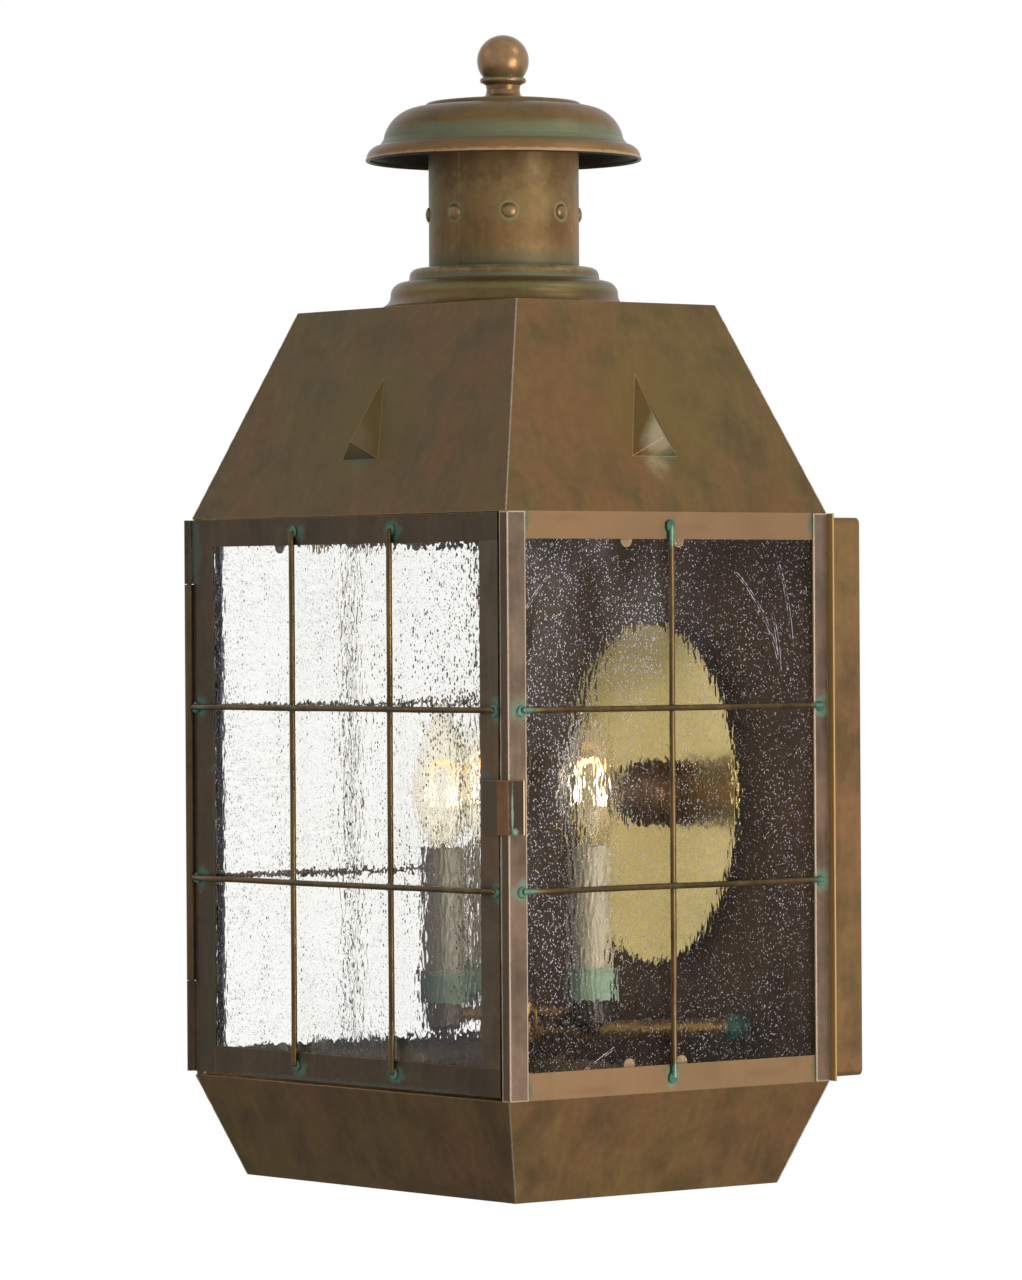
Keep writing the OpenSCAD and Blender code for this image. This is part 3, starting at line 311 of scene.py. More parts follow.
# Hood. Four mitred brass sheets soldered along the hips. The front and the sides each have a stamped
# three-sided vent, and the side sheets are folded down into the rails over the windows.
def keep(piece_name, shape, material, body, replaces=(), angle=38):
    """Makes a piece from points in millimetres and faces, with its material and body. Edges sharper than an
    angle in degrees stay crisp."""
    points, faces = shape
    mesh = bpy.data.meshes.new(piece_name)
    mesh.from_pydata([Vector(p) / 1000 for p in points], [], faces)
    mesh.validate()
    shell = bmesh.new()
    shell.from_mesh(mesh)
    bmesh.ops.recalc_face_normals(shell, faces=shell.faces)
    shell.to_mesh(mesh)
    shell.free()
    mesh.polygons.foreach_set("use_smooth", [True] * len(mesh.polygons))
    mesh.set_sharp_from_angle(angle=math.radians(angle))
    mesh.materials.append(material)
    piece = bpy.data.objects.new(piece_name, mesh)
    bpy.context.scene.collection.objects.link(piece)
    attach(piece, body)
    if replaces:
        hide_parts(*replaces)
    return piece


def together(shapes):
    """Several shapes as one."""
    points, faces = [], []
    for more_points, more_faces in shapes:
        faces += [[i + len(points) for i in face] for face in more_faces]
        points += more_points
    return points, faces


def join_rows(rows, sides, closed=False):
    """Faces that join rows of points all round, with a cap at each end, or with the last row closed onto the
    first."""
    faces = [[i * sides + j, i * sides + (j + 1) % sides,
              (i + 1) % rows * sides + (j + 1) % sides, (i + 1) % rows * sides + j]
             for i in range(rows if closed else rows - 1) for j in range(sides)]
    if not closed:
        faces += [list(reversed(range(sides))), [(rows - 1) * sides + j for j in range(sides)]]
    return faces


def tube(path, radii, sides=20):
    """A round wire along a path in millimetres, with rounded ends. radii has one radius for each point."""
    path = [Vector(p) for p in path]
    steps = [(path[min(i + 1, len(path) - 1)] - path[max(i - 1, 0)]).normalized() for i in range(len(path))]
    stations = list(zip(path, steps, radii))
    round_end = ((0.0, 0.55), (0.12, 0.8), (0.35, 0.95), (0.7, 1.0))
    ends = [[(p + way * step * r * along, step, r * out) for along, out in round_end]
            for way, (p, step, r) in ((1, stations[0]), (-1, stations[-1]))]
    stations = ends[0] + stations[1:-1] + ends[1][::-1]
    points = []
    side = steps[0].orthogonal().normalized()
    for middle, step, radius in stations:
        side = (side - step * side.dot(step)).normalized()
        other = step.cross(side)
        points += [middle + radius * (side * math.cos(2 * math.pi * j / sides)
                                      + other * math.sin(2 * math.pi * j / sides)) for j in range(sides)]
    return points, join_rows(len(stations), sides)


def between(a, b, count):
    """Evenly spaced points from a to b."""
    return [Vector(a).lerp(Vector(b), i / (count - 1)) for i in range(count)]


vent_clouds = spots([((0, -204, 188), (48, 40, 44)), ((109, mid_y, 188), (40, 48, 44))])
vent_feet = spots([((6, -212, 168), (7, 6, 5)), ((117, -113, 168), (6, 7, 5))])
vent_face_front = spots([((0, -214, 180), (15, 8, 27))])
vent_face_sides = spots([((120, mid_y, 180), (8, 15, 27))])
rail_face = past(2, 139.8, 140.4, fold=True)
upright_feet = spots([((127, mid_y, 131), (6, 4, 8)), ((127, mid_y, -132), (6, 4, 8))])
rail_ends = spots([((126.5, y, z), (3, 1.7, 9)) for z in (134, -134) for y in (-208.4, -28.6)])
rail_stains = spots([((127, -104, 133), (3, 15, 3.5)), ((127, -185, 137), (3, 18, 3)),
                     ((127, -60, -134), (3, 20, 4)), ((127, -170, -137), (3, 24, 3))])
rail_marks = [(rail_face, "#886d51", 0.68, 0.0, 0.1), (rail_stains, "#6f4f3f", 0.35, 0.12, 0.2),
              (rail_ends, old_verdigris, 0.7, 0.4, 0.7), (upright_feet, verdigris, 0.55, 0.5, 0.8)]
hood_marks = [(vent_clouds, "#625329", 0.5, 0.2, 0.0), (vent_face_front, "#7a6a4e", 0.6, 0.1, 0.2),
              (vent_face_sides, "#b0a486", 0.75, 0.1, 0.2),
              (vent_feet, old_verdigris, 0.5, 0.4, 0.6)] + rail_marks
hood_brass = aged_brass("aged_brass_hood_sheet", "#4f4228", "#5f4f2f", "#73603a", "#684b2f", marks=hood_marks,
                        streaks=0.25, rubbed_and_glint_tone="#bd9f6c", edge=0.65, edge_round_mm=0.7, whole=0.7)
dress(hood_brass, "roof_front", "roof_right", "roof_rear", "roof_left")

solder, tree, _, dross, tint = mottled("aged_soft_solder", "#5d5444", "#a3967c", patch_mm=2.2, detail=4.0)
ripple = add(tree, "Bump", {"Height": dross, "Distance": 0.0002, "Strength": 0.6})
surface(tree, {"Base Color": tint, "Metallic": 0.8, "Roughness": 0.42, "Normal": ripple})

hip_r, hip_in, hip_points, hip_lump, lumps_per_mm = 0.42, 0.12, 90, 0.4, 0.35
hood_hip = ((126, 101.5, 140.2), (87.5, 63, 243.3))
skirt_hip = ((126, 101.5, -140.2), (107.5, 83, -190.3))
hips = []
for x, y in ((1, 1), (1, -1), (-1, 1), (-1, -1)):
    for hip in (hood_hip, skirt_hip):
        ends = [Vector((x * (px - hip_in), mid_y + y * (py - hip_in), pz)) for px, py, pz in hip]
        path = between(*ends, hip_points)
        hips.append(tube(path, [hip_r * (1 + hip_lump * noise.noise(p * lumps_per_mm)) for p in path], 8))
keep("hip_solder", together(hips), solder, "lantern")

# Skirt. Four mitred sheets taper down to the bottom plate. The side sheets are folded up into the rails
# under the windows. It faces down, so it keeps its brown and shows little green.
skirt_brass = aged_brass("aged_brass_skirt_sheet", "#53442c", "#685534", "#836b44", "#6f5137",
                         streaks=0.3, marks=rail_marks)
dress(skirt_brass, "skirt_front", "skirt_right", "skirt_rear", "skirt_left")

# Chimney. A spun ring of two rounded tiers, a tube rolled from sheet with a lapped seam, and eight
# rivets that hold the bridge inside it. Water stands on the tiers and round the rivets and leaves green.
tube_r, rivet_z, rivet_count, first_rivet = 37.5, 290.5, 8, 10.4


def rivet_halos(tree, where):
    """A field that is low in a thin ring round each rivet head."""
    halo_r, halo_w, pitch = 4.3, 1.4, 360 / rivet_count
    split = add(tree, "SeparateXYZ", {0: where})
    from_axis = add(tree, "Math", {0: split.outputs[1], 1: -mid_y / 1000}, operation="ADD")
    turn = add(tree, "Math", {0: from_axis, 1: split.outputs[0]}, operation="ARCTAN2")
    turn = add(tree, "Math", {0: turn, 1: -math.radians(first_rivet)}, operation="ADD")
    turn = add(tree, "Math", {0: turn, 1: math.radians(pitch / 2)}, operation="PINGPONG")
    across = add(tree, "Math", {0: turn, 1: tube_r}, operation="MULTIPLY")
    upward = add(tree, "Math", {0: split.outputs[2], 1: 1000.0, 2: -rivet_z}, operation="MULTIPLY_ADD")
    flat = add(tree, "CombineXYZ", {0: across, 1: upward})
    gap = add(tree, "VectorMath", {0: flat}, operation="LENGTH")
    gap = add(tree, "Math", {0: gap, 1: -halo_r}, operation="ADD")
    gap = add(tree, "Math", {0: gap}, operation="ABSOLUTE")
    return add(tree, "Math", {0: gap, 1: 1 / halo_w}, operation="MULTIPLY")


ring_brass = aged_brass(
    "aged_brass_spinning", "#5b4d30", "#70603a", "#877548", "#735737", rough=0.36, metal=0.35, spun=True,
    marks=[(rings([(43, 264, 6)]), "#9a9a74", 0.75, 0.3, 0.3),
           (rings([(47.5, 257.7, 2.4), (37.5, 264.4, 2.5)]), "#62786a", 0.6, 0.3, 0.6),
           (rings([(57.5, 253, 3.0)]), "#7b7d52", 0.5, 0.3, 0.4)])
dress(ring_brass, "chimney_ring")
# The dark ring at the top of the tube is a painted shadow under the cap's brim; the other rings are stains and
# salts.
tube_brass = aged_brass(
    "aged_brass_rolled_tube", "#5e4e33", "#7f6a46", "#a28c62", "#846544", rough=0.4, metal=0.14, gloss=0.08,
    grime_and_shade=0.2, edge=0.1, marks=[(rings([(tube_r, 322, 24)]), "#57432c", 0.45, 0.3, 0.0),
                                (rings([(tube_r, 279, 9)]), "#785633", 0.32, 0.7, 0.0),
                                (rings([(tube_r, 264, 11)]), "#646750", 0.6, 0.35, 0.4),
                                (rivet_halos, "#8a8c68", 0.6, 0.25, 0.5)])
rivet_brass = aged_brass("aged_brass_domed_rivet", "#6b573b", "#86704c", "#a58c64", "#8a6a48", rough=0.3,
                         metal=0.35, grime_and_shade=0.0)

tube_wall, tube_low, tube_top, foot_edge, mouth_round = 1.0, 243.5, 324.0, 0.01, 0.25
seam_turn, seam_step, seam_arc, turn_step = -75, 0.4, 22, 3.0
plan = []
for i in range(int(360 / turn_step) + 1):
    dip = seam_step * max(0.0, 1 - turn_step * i / seam_arc) ** 2
    plan.append((math.radians(seam_turn + turn_step * i), tube_r - dip))
levels = [(tube_low, 0.0), (tube_low + foot_edge, 0.0), (tube_top - mouth_round, 0.0), (tube_top, mouth_round)]
points, faces = [], []
for wall, order in ((0.0, levels), (tube_wall, list(reversed(levels)))):
    for z, inset in order:
        out = -inset if wall == 0.0 else inset
        points += [((r - wall + out) * math.cos(a), mid_y + (r - wall + out) * math.sin(a), z)
                   for a, r in plan]
row, count = len(plan), 2 * len(levels)
for i in range(count):
    for j in range(row - 1):
        k = (i + 1) % count
        faces.append([i * row + j, i * row + j + 1, k * row + j + 1, k * row + j])
for i in range(len(levels) - 1):
    for j in (0, row - 1):
        a, b = i * row + j, (i + 1) * row + j
        c, d = (count - 2 - i) * row + j, (count - 1 - i) * row + j
        faces.append([a, b, c, d] if j == 0 else [d, c, b, a])
keep("chimney_tube", (points, faces), tube_brass, "lantern", ["chimney"], 30)
head_sides = 28
head = ((3.75, -0.5), (3.75, 0.18), (3.6, 0.42), (3.2, 0.8), (2.6, 1.14), (1.8, 1.42), (0.9, 1.6),
        (0.25, 1.65))
heads = []
for i in range(rivet_count):
    turn = math.radians(first_rivet + 360 / rivet_count * i)
    outward, across = Vector((math.cos(turn), math.sin(turn), 0)), Vector((-math.sin(turn), math.cos(turn), 0))
    middle = Vector((0, mid_y, rivet_z)) + tube_r * outward
    points = [middle + proud * outward + r * (math.cos(a) * across + math.sin(a) * Vector((0, 0, 1)))
              for r, proud in head for a in (2 * math.pi * j / head_sides for j in range(head_sides))]
    heads.append((points, join_rows(len(head), head_sides)))
keep("domed_rivets", together(heads), rivet_brass, "lantern", ["chimney_rivets"], 40)

# Cap and finial. The cap is spun from sheet, with a rolled brim and a low crown. The turned ball screws
# down on its rod. Both have the smoothest skin, satin brown with a green line where the curve turns.
def shaded_underside(tree, where):
    """A field that is low wherever the surface looks down, where the cap is painted dark as shade."""
    facing = add(tree, "SeparateXYZ", {0: add(tree, "NewGeometry").outputs["Normal"]}).outputs[2]
    return add(tree, "MapRange", {"Value": facing, "From Min": -0.25, "From Max": 0.0})


# The pale line on the brim's lip is a painted highlight, and the dark teal under the brim is painted shade.
cap_brass = aged_brass(
    "aged_brass_spun_cap", "#574a2f", "#72623d", "#8e784b", "#785a38", rough=0.34, metal=0.16, gloss=0.12,
    spun=True, rubbed_and_glint_tone="#c39c6c", edge=0.5, marks=[(rings([(60, 328, 8)]), "#6d8570", 0.5, 0.2, 0.5),
                                                (rings([(42, 343.5, 3.0)]), "#5f5c3c", 0.6, 0.2, 0.4),
                                                (rings([(24, 348, 15)]), "#6f7f66", 0.7, 0.25, 0.5),
                                                (rings([(68, 320, 5)]), "#946f49", 0.5, 0.2, 0.0),
                                                (rings([(69, 318.4, 1.5)]), "#c8a27c", 0.6, 0.3, 0.0),
                                                (shaded_underside, "#182322", 0.92, 0.1, 0.7)])
dress(cap_brass, "vent_cap")
finial_brass = aged_brass(
    "aged_brass_turned_finial", "#6e563c", "#8a6f4f", "#ab8c66", "#8e6c4d", rough=0.24, metal=0.45, edge=0.3,
    marks=[(rings([(10.5, 359.5, 2.2), (9.5, 348.4, 2.4)]), "#5f6b52", 0.6, 0.3, 0.5)])
dress(finial_brass, "finial")

# Steel. The hidden strap, nipple, bridge, rod and nuts are turned or cut from mild steel and zinc plated:
# a pale grey satin with a faint spangle.
zinc, tree, where = new_material("zinc_plated_steel")
spangle_mm = 2.5
spangle = add(tree, "TexVoronoi", {"Vector": where, "Scale": 1000 / spangle_mm})
cell = add(tree, "SeparateColor", {"Color": spangle.outputs["Color"]})
tint = add(tree, "Mix", {"Factor": cell, "A": linear("#8c8b86"), "B": linear("#b3b1aa")}, data_type="RGBA")
matt = add(tree, "MapRange", {"Value": cell, "To Min": 0.3, "To Max": 0.44})
surface(tree, {"Base Color": tint, "Metallic": 0.9, "Roughness": matt})
dress(zinc, "mounting_strap", "fixing_nipple", "cap_bridge", "cap_rod", "cap_rod_nuts")


# Windows. Panes of 3 mm drawn sheet glass full of seeds and vertical drawing lines, held in their frames
# by small half-round brass clips. A seed bends the light like a lens, showing white before the dark and dark
# before the light, and the seeds are painted in those tones as painted light.
def seedy_glass(name, seed_colour, seed_clear, crowd_most, rear_share=1.0, column=0.12, seed_most=0.3,
                latch_share=1.0, putty=False, fog=0.0, scratches=()):
    """Drawn glass. seed_colour is what a seed shows, and seed_clear is how much light it lets through.
    crowd_most and seed_most are how large specks and seeds grow where they crowd, and column is how soft the
    crowded columns are. rear_share thins the specks toward the low rear corner, latch_share crowds them
    toward the latch, and fog is how much haze lies where they crowd. putty is a dark line behind the front
    edge. A scratch is an arc: its middle y and z, its radius, and its lowest and highest z in millimetres."""
    material, tree, where = new_material(name)
    ripple_mm, seed_mm, speck_mm, cluster_mm, haze_mm = 2.4, 1.9, 1.0, 9, 30
    scratch_half, putty_y, putty_half = 0.16, -205.8, 2.4
    tall = add(tree, "Mapping", {"Vector": where, "Scale": (1, 1, 0.42)})
    round_seeds = add(tree, "Mapping", {"Vector": where, "Scale": (1, 1, 0.7)})
    taller = add(tree, "Mapping", {"Vector": where, "Scale": (1, 1, 0.12)})
    ripple = add(tree, "TexNoise", {"Vector": tall, "Scale": 1000 / ripple_mm, "Detail": 1.0, "Roughness": 0.4})
    lines = add(tree, "TexNoise", {"Vector": taller, "Scale": 1000 / cluster_mm, "Detail": 3.0})
    crowd = add(tree, "MapRange", {"Value": lines, "From Min": 0.5 - column, "From Max": 0.5 + column,
                                   "To Min": 0.02, "To Max": seed_most})
    specks = add(tree, "TexVoronoi", {"Vector": round_seeds, "Scale": 1000 / speck_mm, "Randomness": 1.0})
    chance = add(tree, "SeparateColor", {"Color": specks.outputs["Color"]})
    haze = add(tree, "TexNoise", {"Vector": tall, "Scale": 1000 / haze_mm, "Detail": 2.0})
    thick = add(tree, "MapRange", {"Value": haze, "From Min": 0.35, "From Max": 0.65,
                                   "To Min": 0.6 * crowd_most, "To Max": crowd_most})
    split = add(tree, "SeparateXYZ", {0: where})
    sparse = past(1, -200, -70, 1.0, rear_share)(tree, where)
    lower = past(2, -100, 80, rear_share, 1.0)(tree, where)
    sparse = add(tree, "Math", {0: sparse, 1: lower}, operation="MULTIPLY")
    thick = add(tree, "Math", {0: thick, 1: sparse}, operation="MULTIPLY")
    if latch_share != 1.0:
        toward = past(0, 35, 100, 1.0, latch_share)(tree, where)
        thick = add(tree, "Math", {0: thick, 1: toward}, operation="MULTIPLY")
        crowd = add(tree, "Math", {0: crowd, 1: toward}, operation="MULTIPLY")
    seeds = add(tree, "TexVoronoi", {"Vector": round_seeds, "Scale": 1000 / seed_mm, "Randomness": 1.0})
    pick = add(tree, "SeparateColor", {"Color": seeds.outputs["Color"]})
    radius = add(tree, "Math", {0: pick, 1: crowd}, operation="MULTIPLY")
    bubble = add(tree, "Math", {0: radius, 1: seeds.outputs["Distance"]}, operation="SUBTRACT")
    bubble = add(tree, "MapRange", {"Value": bubble, "From Min": -0.02, "From Max": 0.08})
    small = add(tree, "MapRange", {"Value": chance, "From Min": 0.25, "From Max": 1.0, "To Max": thick})
    dust = add(tree, "Math", {0: small, 1: specks.outputs["Distance"]}, operation="SUBTRACT")
    dust = add(tree, "MapRange", {"Value": dust, "From Min": -0.02, "From Max": 0.06, "To Max": 0.8})
    seed = add(tree, "Math", {0: bubble, 1: dust}, operation="MAXIMUM")
    if fog:
        bloom = add(tree, "MapRange", {"Value": haze, "From Min": 0.4, "From Max": 0.7, "To Max": fog})
        bloom = add(tree, "Math", {0: bloom, 1: add(tree, "MapRange", {
            "Value": sparse, "From Min": rear_share, "From Max": 1.0})}, operation="MULTIPLY")
        seed = add(tree, "Math", {0: seed, 1: bloom}, operation="MAXIMUM")
    for arc_y, arc_z, arc_r, arc_low, arc_top in scratches:
        flat = add(tree, "CombineXYZ", {
            0: add(tree, "Math", {0: split.outputs[1], 1: 1000.0, 2: -arc_y}, operation="MULTIPLY_ADD"),
            1: add(tree, "Math", {0: split.outputs[2], 1: 1000.0, 2: -arc_z}, operation="MULTIPLY_ADD")})
        gap = add(tree, "VectorMath", {0: flat}, operation="LENGTH")
        near = add(tree, "Math", {0: gap, 1: arc_r, 2: scratch_half}, operation="COMPARE")
        inside = add(tree, "Math", {0: split.outputs[2], 1: (arc_low + arc_top) / 2000,
                                    2: (arc_top - arc_low) / 2000}, operation="COMPARE")
        faint = add(tree, "MapRange", {"Value": ripple, "From Min": 0.4, "From Max": 0.6, "To Max": 0.9})
        score = add(tree, "Math", {0: add(tree, "Math", {0: near, 1: inside}, operation="MULTIPLY"), 1: faint},
                    operation="MULTIPLY")
        seed = add(tree, "Math", {0: seed, 1: score}, operation="MAXIMUM")
    tint = add(tree, "Mix", {"Factor": seed, "A": linear("#fdfdfb"), "B": linear(seed_colour)}, data_type="RGBA")
    clear = add(tree, "MapRange", {"Value": seed, "To Min": 1.0, "To Max": seed_clear})
    if putty:
        off = add(tree, "Math", {0: split.outputs[1], 1: -putty_y / 1000}, operation="ADD")
        off = add(tree, "Math", {0: add(tree, "Math", {0: off}, operation="ABSOLUTE"), 1: putty_half / 1000},
                  operation="LESS_THAN")
        tint = add(tree, "Mix", {"Factor": off, "A": tint, "B": linear("#0f0e10")}, data_type="RGBA")
    frost = add(tree, "MapRange", {"Value": seed, "To Min": 0.0, "To Max": 0.35})
    wave = add(tree, "Bump", {"Height": ripple, "Distance": 0.00013, "Strength": 1.0})
    pock = add(tree, "Bump", {"Height": seed, "Distance": 0.00025, "Strength": 1.0, "Normal": wave})
    pane = add(tree, "BsdfPrincipled", {"Base Color": tint, "Transmission Weight": clear, "Roughness": frost,
                                        "IOR": 1.45, "Specular Tint": linear("#202022"), "Normal": pock})
    lets_through = add(tree, "BsdfTransparent", {"Color": linear("#f0f0ec")})
    shadow = add(tree, "LightPath").outputs["Is Shadow Ray"]
    add(tree, "OutputMaterial", {"Surface": add(tree, "MixShader", {0: shadow, 1: pane, 2: lets_through})})
    return material


side_glass = seedy_glass(
    "seedy_drawn_glass_side", "#d8d0ec", 0.35, 0.4, rear_share=0.82, column=0.3, seed_most=0.2, fog=0.07,
    scratches=[(-133.6, 43.5, 89, 62, 111), (-146, 60, 99, 66, 92), (-160, 70, 121, 78, 120),
               (-330, 190, 354, -137, -117)])
dress(side_glass, "glass_right")
front_glass = seedy_glass("seedy_drawn_glass_front", "#4a4642", 0.9, 0.25, latch_share=1.6)
dress(front_glass, "door_glass")
puttied_glass = seedy_glass("seedy_drawn_glass_puttied", "#4a4642", 0.9, 0.3, putty=True)
dress(puttied_glass, "glass_left")


def prism(outline, low, top, place):
    """A flat outline between two depths, put where place says."""
    count = len(outline)
    points = [place(a, b, c) for c in (low, top) for a, b in outline]
    return points, join_rows(2, count)


def pane_clip(place):
    """A clip bent from strip: a foot on the rail, a step round the pane's edge, and a half-round tab."""
    half_wide, lap, foot, strip_t, tab_low, tab_top, tab_y, tab_steps = 3.5, 5.1, 11.0, 0.8, 3.3, 3.9, -0.5, 16
    tab = [(half_wide, lap + strip_t), (half_wide, tab_y)]
    tab += [(half_wide * math.cos(a), tab_y - half_wide * math.sin(a))
            for a in (math.pi * i / tab_steps for i in range(1, tab_steps))]
    tab += [(-half_wide, tab_y), (-half_wide, lap + strip_t)]
    bend = [(lap, 0), (foot, 0), (foot, strip_t), (lap + strip_t, strip_t), (lap + strip_t, tab_top),
            (lap, tab_top)]
    return together([prism(tab, tab_low, tab_top, place),
                     prism(bend, -half_wide, half_wide, lambda v, w, u: place(u, v, w))])


clip_brass = aged_brass("aged_brass_clip", "#6a5b45", "#7d6c52", "#94815f", "#7b654b", edge=0.3, metal=0.0,
                        grime_and_shade=0.0)
window_x, window_top, door_y = 125, 127, -220
side_clips = [pane_clip(lambda u, v, w, x=x, y=y, z=z: Vector((x * (window_x - w), y + u,
                                                             z * (window_top + v))))
              for x in (-1, 1) for z in (-1, 1) for y in (-144, -111)]
keep("side_pane_clips", together(side_clips), clip_brass, "lantern", ["side_glass_clips"])
door_clips = [pane_clip(lambda u, v, w, x=x, z=z, way=way: Vector((x + u, door_y + w, z + way * v)))
              for x in (-56.75, 53.25) for z, way in ((126, 1), (-124.6, -1))]
keep("door_pane_clips", together(door_clips), clip_brass, "door", ["door_glass_clips"])


# Window bars. Drawn brass wire of 2.9 mm: two cross bars bent out over one upright on each side, and over
# two uprights on the door. Each end is soft soldered to the frame, where flux has left green and white salts.
def wire(points, wander_axis, wander=0.3):
    """A drawn wire through points in millimetres, a little out of straight along one axis."""
    wire_r, step_mm, bend_rounds, held_steps, waves_per_mm = 1.45, 3.0, 3, 6, 0.018
    path = [Vector(points[0])]
    for a, b in zip(points, points[1:]):
        a, b = Vector(a), Vector(b)
        count = max(2, int((b - a).length / step_mm))
        path += [a.lerp(b, i / count) for i in range(1, count + 1)]
    for _ in range(bend_rounds):
        inner = [(a + 2 * b + c) / 4 for a, b, c in zip(path, path[1:], path[2:])]
        path = [path[0]] + inner + [path[-1]]
    for i, p in enumerate(path):
        near_end = min(1.0, i / held_steps, (len(path) - 1 - i) / held_steps)
        p[wander_axis] += wander * near_end * noise.noise(p * waves_per_mm)
    return tube(path, [wire_r] * len(path))


def blob(middle, radii):
    """A lumpy bead of solder, from its middle and its radii in millimetres."""
    lump_size, lumps = 0.22, 1.6
    made = bmesh.new()
    bmesh.ops.create_icosphere(made, subdivisions=3, radius=1.0)
    middle = Vector(middle)
    points = []
    for vert in made.verts:
        lump = 1 + lump_size * noise.noise(vert.co * lumps + middle)
        points.append(middle + Vector([c * r * lump for c, r in zip(vert.co, radii)]))
    faces = [[vert.index for vert in face.verts] for face in made.faces]
    made.free()
    return points, faces


wire_brass = aged_brass(
    "aged_brass_drawn_wire", "#3d3220", "#54452b", "#85703f", "#5c472c", rough=0.26, metal=0.75, edge=0.0,
    marks=[(wire_feet, verdigris, 0.6, 0.4, 0.8), (upright_feet, verdigris, 0.85, 0.3, 0.9)])
salts = aged_brass("solder_with_verdigris", "#2f5a4c", "#5c9380", "#93b8a8", "#4d7263", rough=0.5, metal=0.2,
                   edge=0.0)
upright_x, over_x, rear_x, upright_end, sag = 127.45, 130.2, 128.45, 134.0, 0.4
side_beads = []
for side, front_x in ((1, 128.45), (-1, 129.45)):
    bars = [wire([(side * upright_x, mid_y, -upright_end), (side * upright_x, mid_y, upright_end)], 1)]
    for z in bar_heights:
        bars.append(wire([(side * front_x, -214, z), (side * front_x, -210, z), (side * over_x, -198, z),
                          (side * over_x, -39, z), (side * rear_x, -27, z), (side * rear_x, -23, z)], 2))
        side_beads += [blob((side * (front_x - 1.2), -213.2, z - sag), (1.1, 2.9, 2.7)),
                       blob((side * 127.3, -23.6, z - sag), (1.1, 2.6, 2.6)),
                       blob((side * 128.6, mid_y, z), (1.0, 2.0, 2.0))]
    for z in (-upright_end, upright_end):
        side_beads.append(blob((side * 126.9, mid_y, z * 0.995), (1.1, 2.7, 2.9)))
    hand = "right" if side > 0 else "left"
    keep("side_bars_" + hand, together(bars), wire_brass, "lantern", ["window_bars_" + hand])
keep("side_bar_solder", together(side_beads), salts, "lantern")

# Door. Four brass strips lapped and soldered at the corners, with the seedy pane clipped in behind them.
# The front is in shade and darker, and rain has run down the latch side.
door_feet = spots([((120, -221, z), (9, 6, 8)) for z in bar_heights]
                  + [((39, -221, z), (8, 6, 7)) for z in (132, -131)])
door_damp = spots([((0, -221, -138.5), (130, 3, 2.8)), ((124, -221, 125), (7, 4, 26)),
                   ((107, -221, 14), (9, 5, 3.5))])
door_brass = aged_brass(
    "aged_brass_door_strip", "#382f23", "#483c2a", "#5f513a", "#503e2d", rubbed_and_glint_tone="#9a815c", edge=0.45,
    marks=[(door_feet, verdigris, 0.45, 0.4, 0.8), (door_damp, "#4d625a", 0.6, 0.4, 0.7)])
dress(door_brass, "door_stile_hinge", "door_rail_top", "door_rail_bottom")
stile_brass = aged_brass(
    "aged_brass_latch_stile", "#433a2c", "#594d3b", "#73664e", "#614d3a", rubbed_and_glint_tone="#9a815c", edge=0.45,
    marks=[(door_feet, verdigris, 0.5, 0.4, 0.8), (door_damp, "#52685f", 0.7, 0.4, 0.7)])
dress(stile_brass, "door_stile_latch")
wire_y, over_y, bead_y, uprights = -222.45, -225.2, -221.4, (-41, 37.5)
door_bars, door_beads = [], []
for x in uprights:
    door_bars.append(wire([(x, wire_y, -131.6), (x, wire_y, 133)], 0))
    door_beads += [blob((x, bead_y, z), (2.7, 1.0, 2.9)) for z in (-131, 132.4)]
for z in bar_heights:
    door_bars.append(wire([(-125, wire_y, z), (-121, wire_y, z), (-109, over_y, z), (102, over_y, z),
                           (114, wire_y, z), (118, wire_y, z)], 2))
    door_beads += [blob((x, bead_y, z - sag), (2.9, 1.0, 2.7)) for x in (-123.6, 116.6)]
    door_beads += [blob((x, -223.8, z), (2.0, 1.0, 2.0)) for x in uprights]
keep("door_window_bars", together(door_bars), wire_brass, "door", ["door_bars"])
keep("door_bar_solder", together(door_beads), salts, "door")

# Hinge and latch. The leaf is soldered to the post and its long knuckle turns on a pin. The latch is a
# springy strip folded round the corner, redder than the sheet and rubbed at its edges, with painted highlights
# on its corner and lip.
hinge_brass = aged_brass("aged_brass_hinge", "#463a2a", "#5d4c35", "#75624a", "#614934", edge=0.6)
dress(hinge_brass, "hinge_leaf", "hinge_pin")
# The clip's heel lies on the stile, its flank along the post is painted dark as shade, and its lip and corner
# are painted highlights.
latch_heel = past(0, 118.8, 119.8)
latch_lip_highlight = past(1, -213.3, -213.5)
latch_flank_shade = past(0, 128.1, 127.7)
latch_tears = spots([((128.3, -219.8, -3), (0.9, 0.8, 17)), ((128.3, -218, -12), (0.9, 3.0, 2.5))])
latch_corner_highlight = spots([((128.2, -222, 0), (0.55, 0.55, 80))])
latch_brass = aged_brass(
    "aged_spring_brass", "#6d4c34", "#87603f", "#9a7450", "#8a5e3b", rubbed_and_glint_tone="#d9b48a", edge=0.5, whole=0.8,
    metal=0.3, marks=[(latch_heel, "#4a4534", 0.88, 0.15, 0.2), (latch_flank_shade, "#21180f", 0.96, 0.1, 0.3),
                      (latch_lip_highlight, "#ffe2bc", 0.9, 0.0, 0.0), (latch_corner_highlight, "#ffdcb6", 0.9, 0.15, 0.0),
                      (latch_tears, "#7fa394", 0.7, 0.3, 0.7)])
clip_t, clip_low, clip_top, clip_round, nose = 1.0, -13.7, 12.5, 0.25, 0.3
front_y, side_x, bend_r, bend_steps = -221.6, 127.8, 0.9, 6
line = [(108.0, front_y), (side_x - bend_r, front_y)]
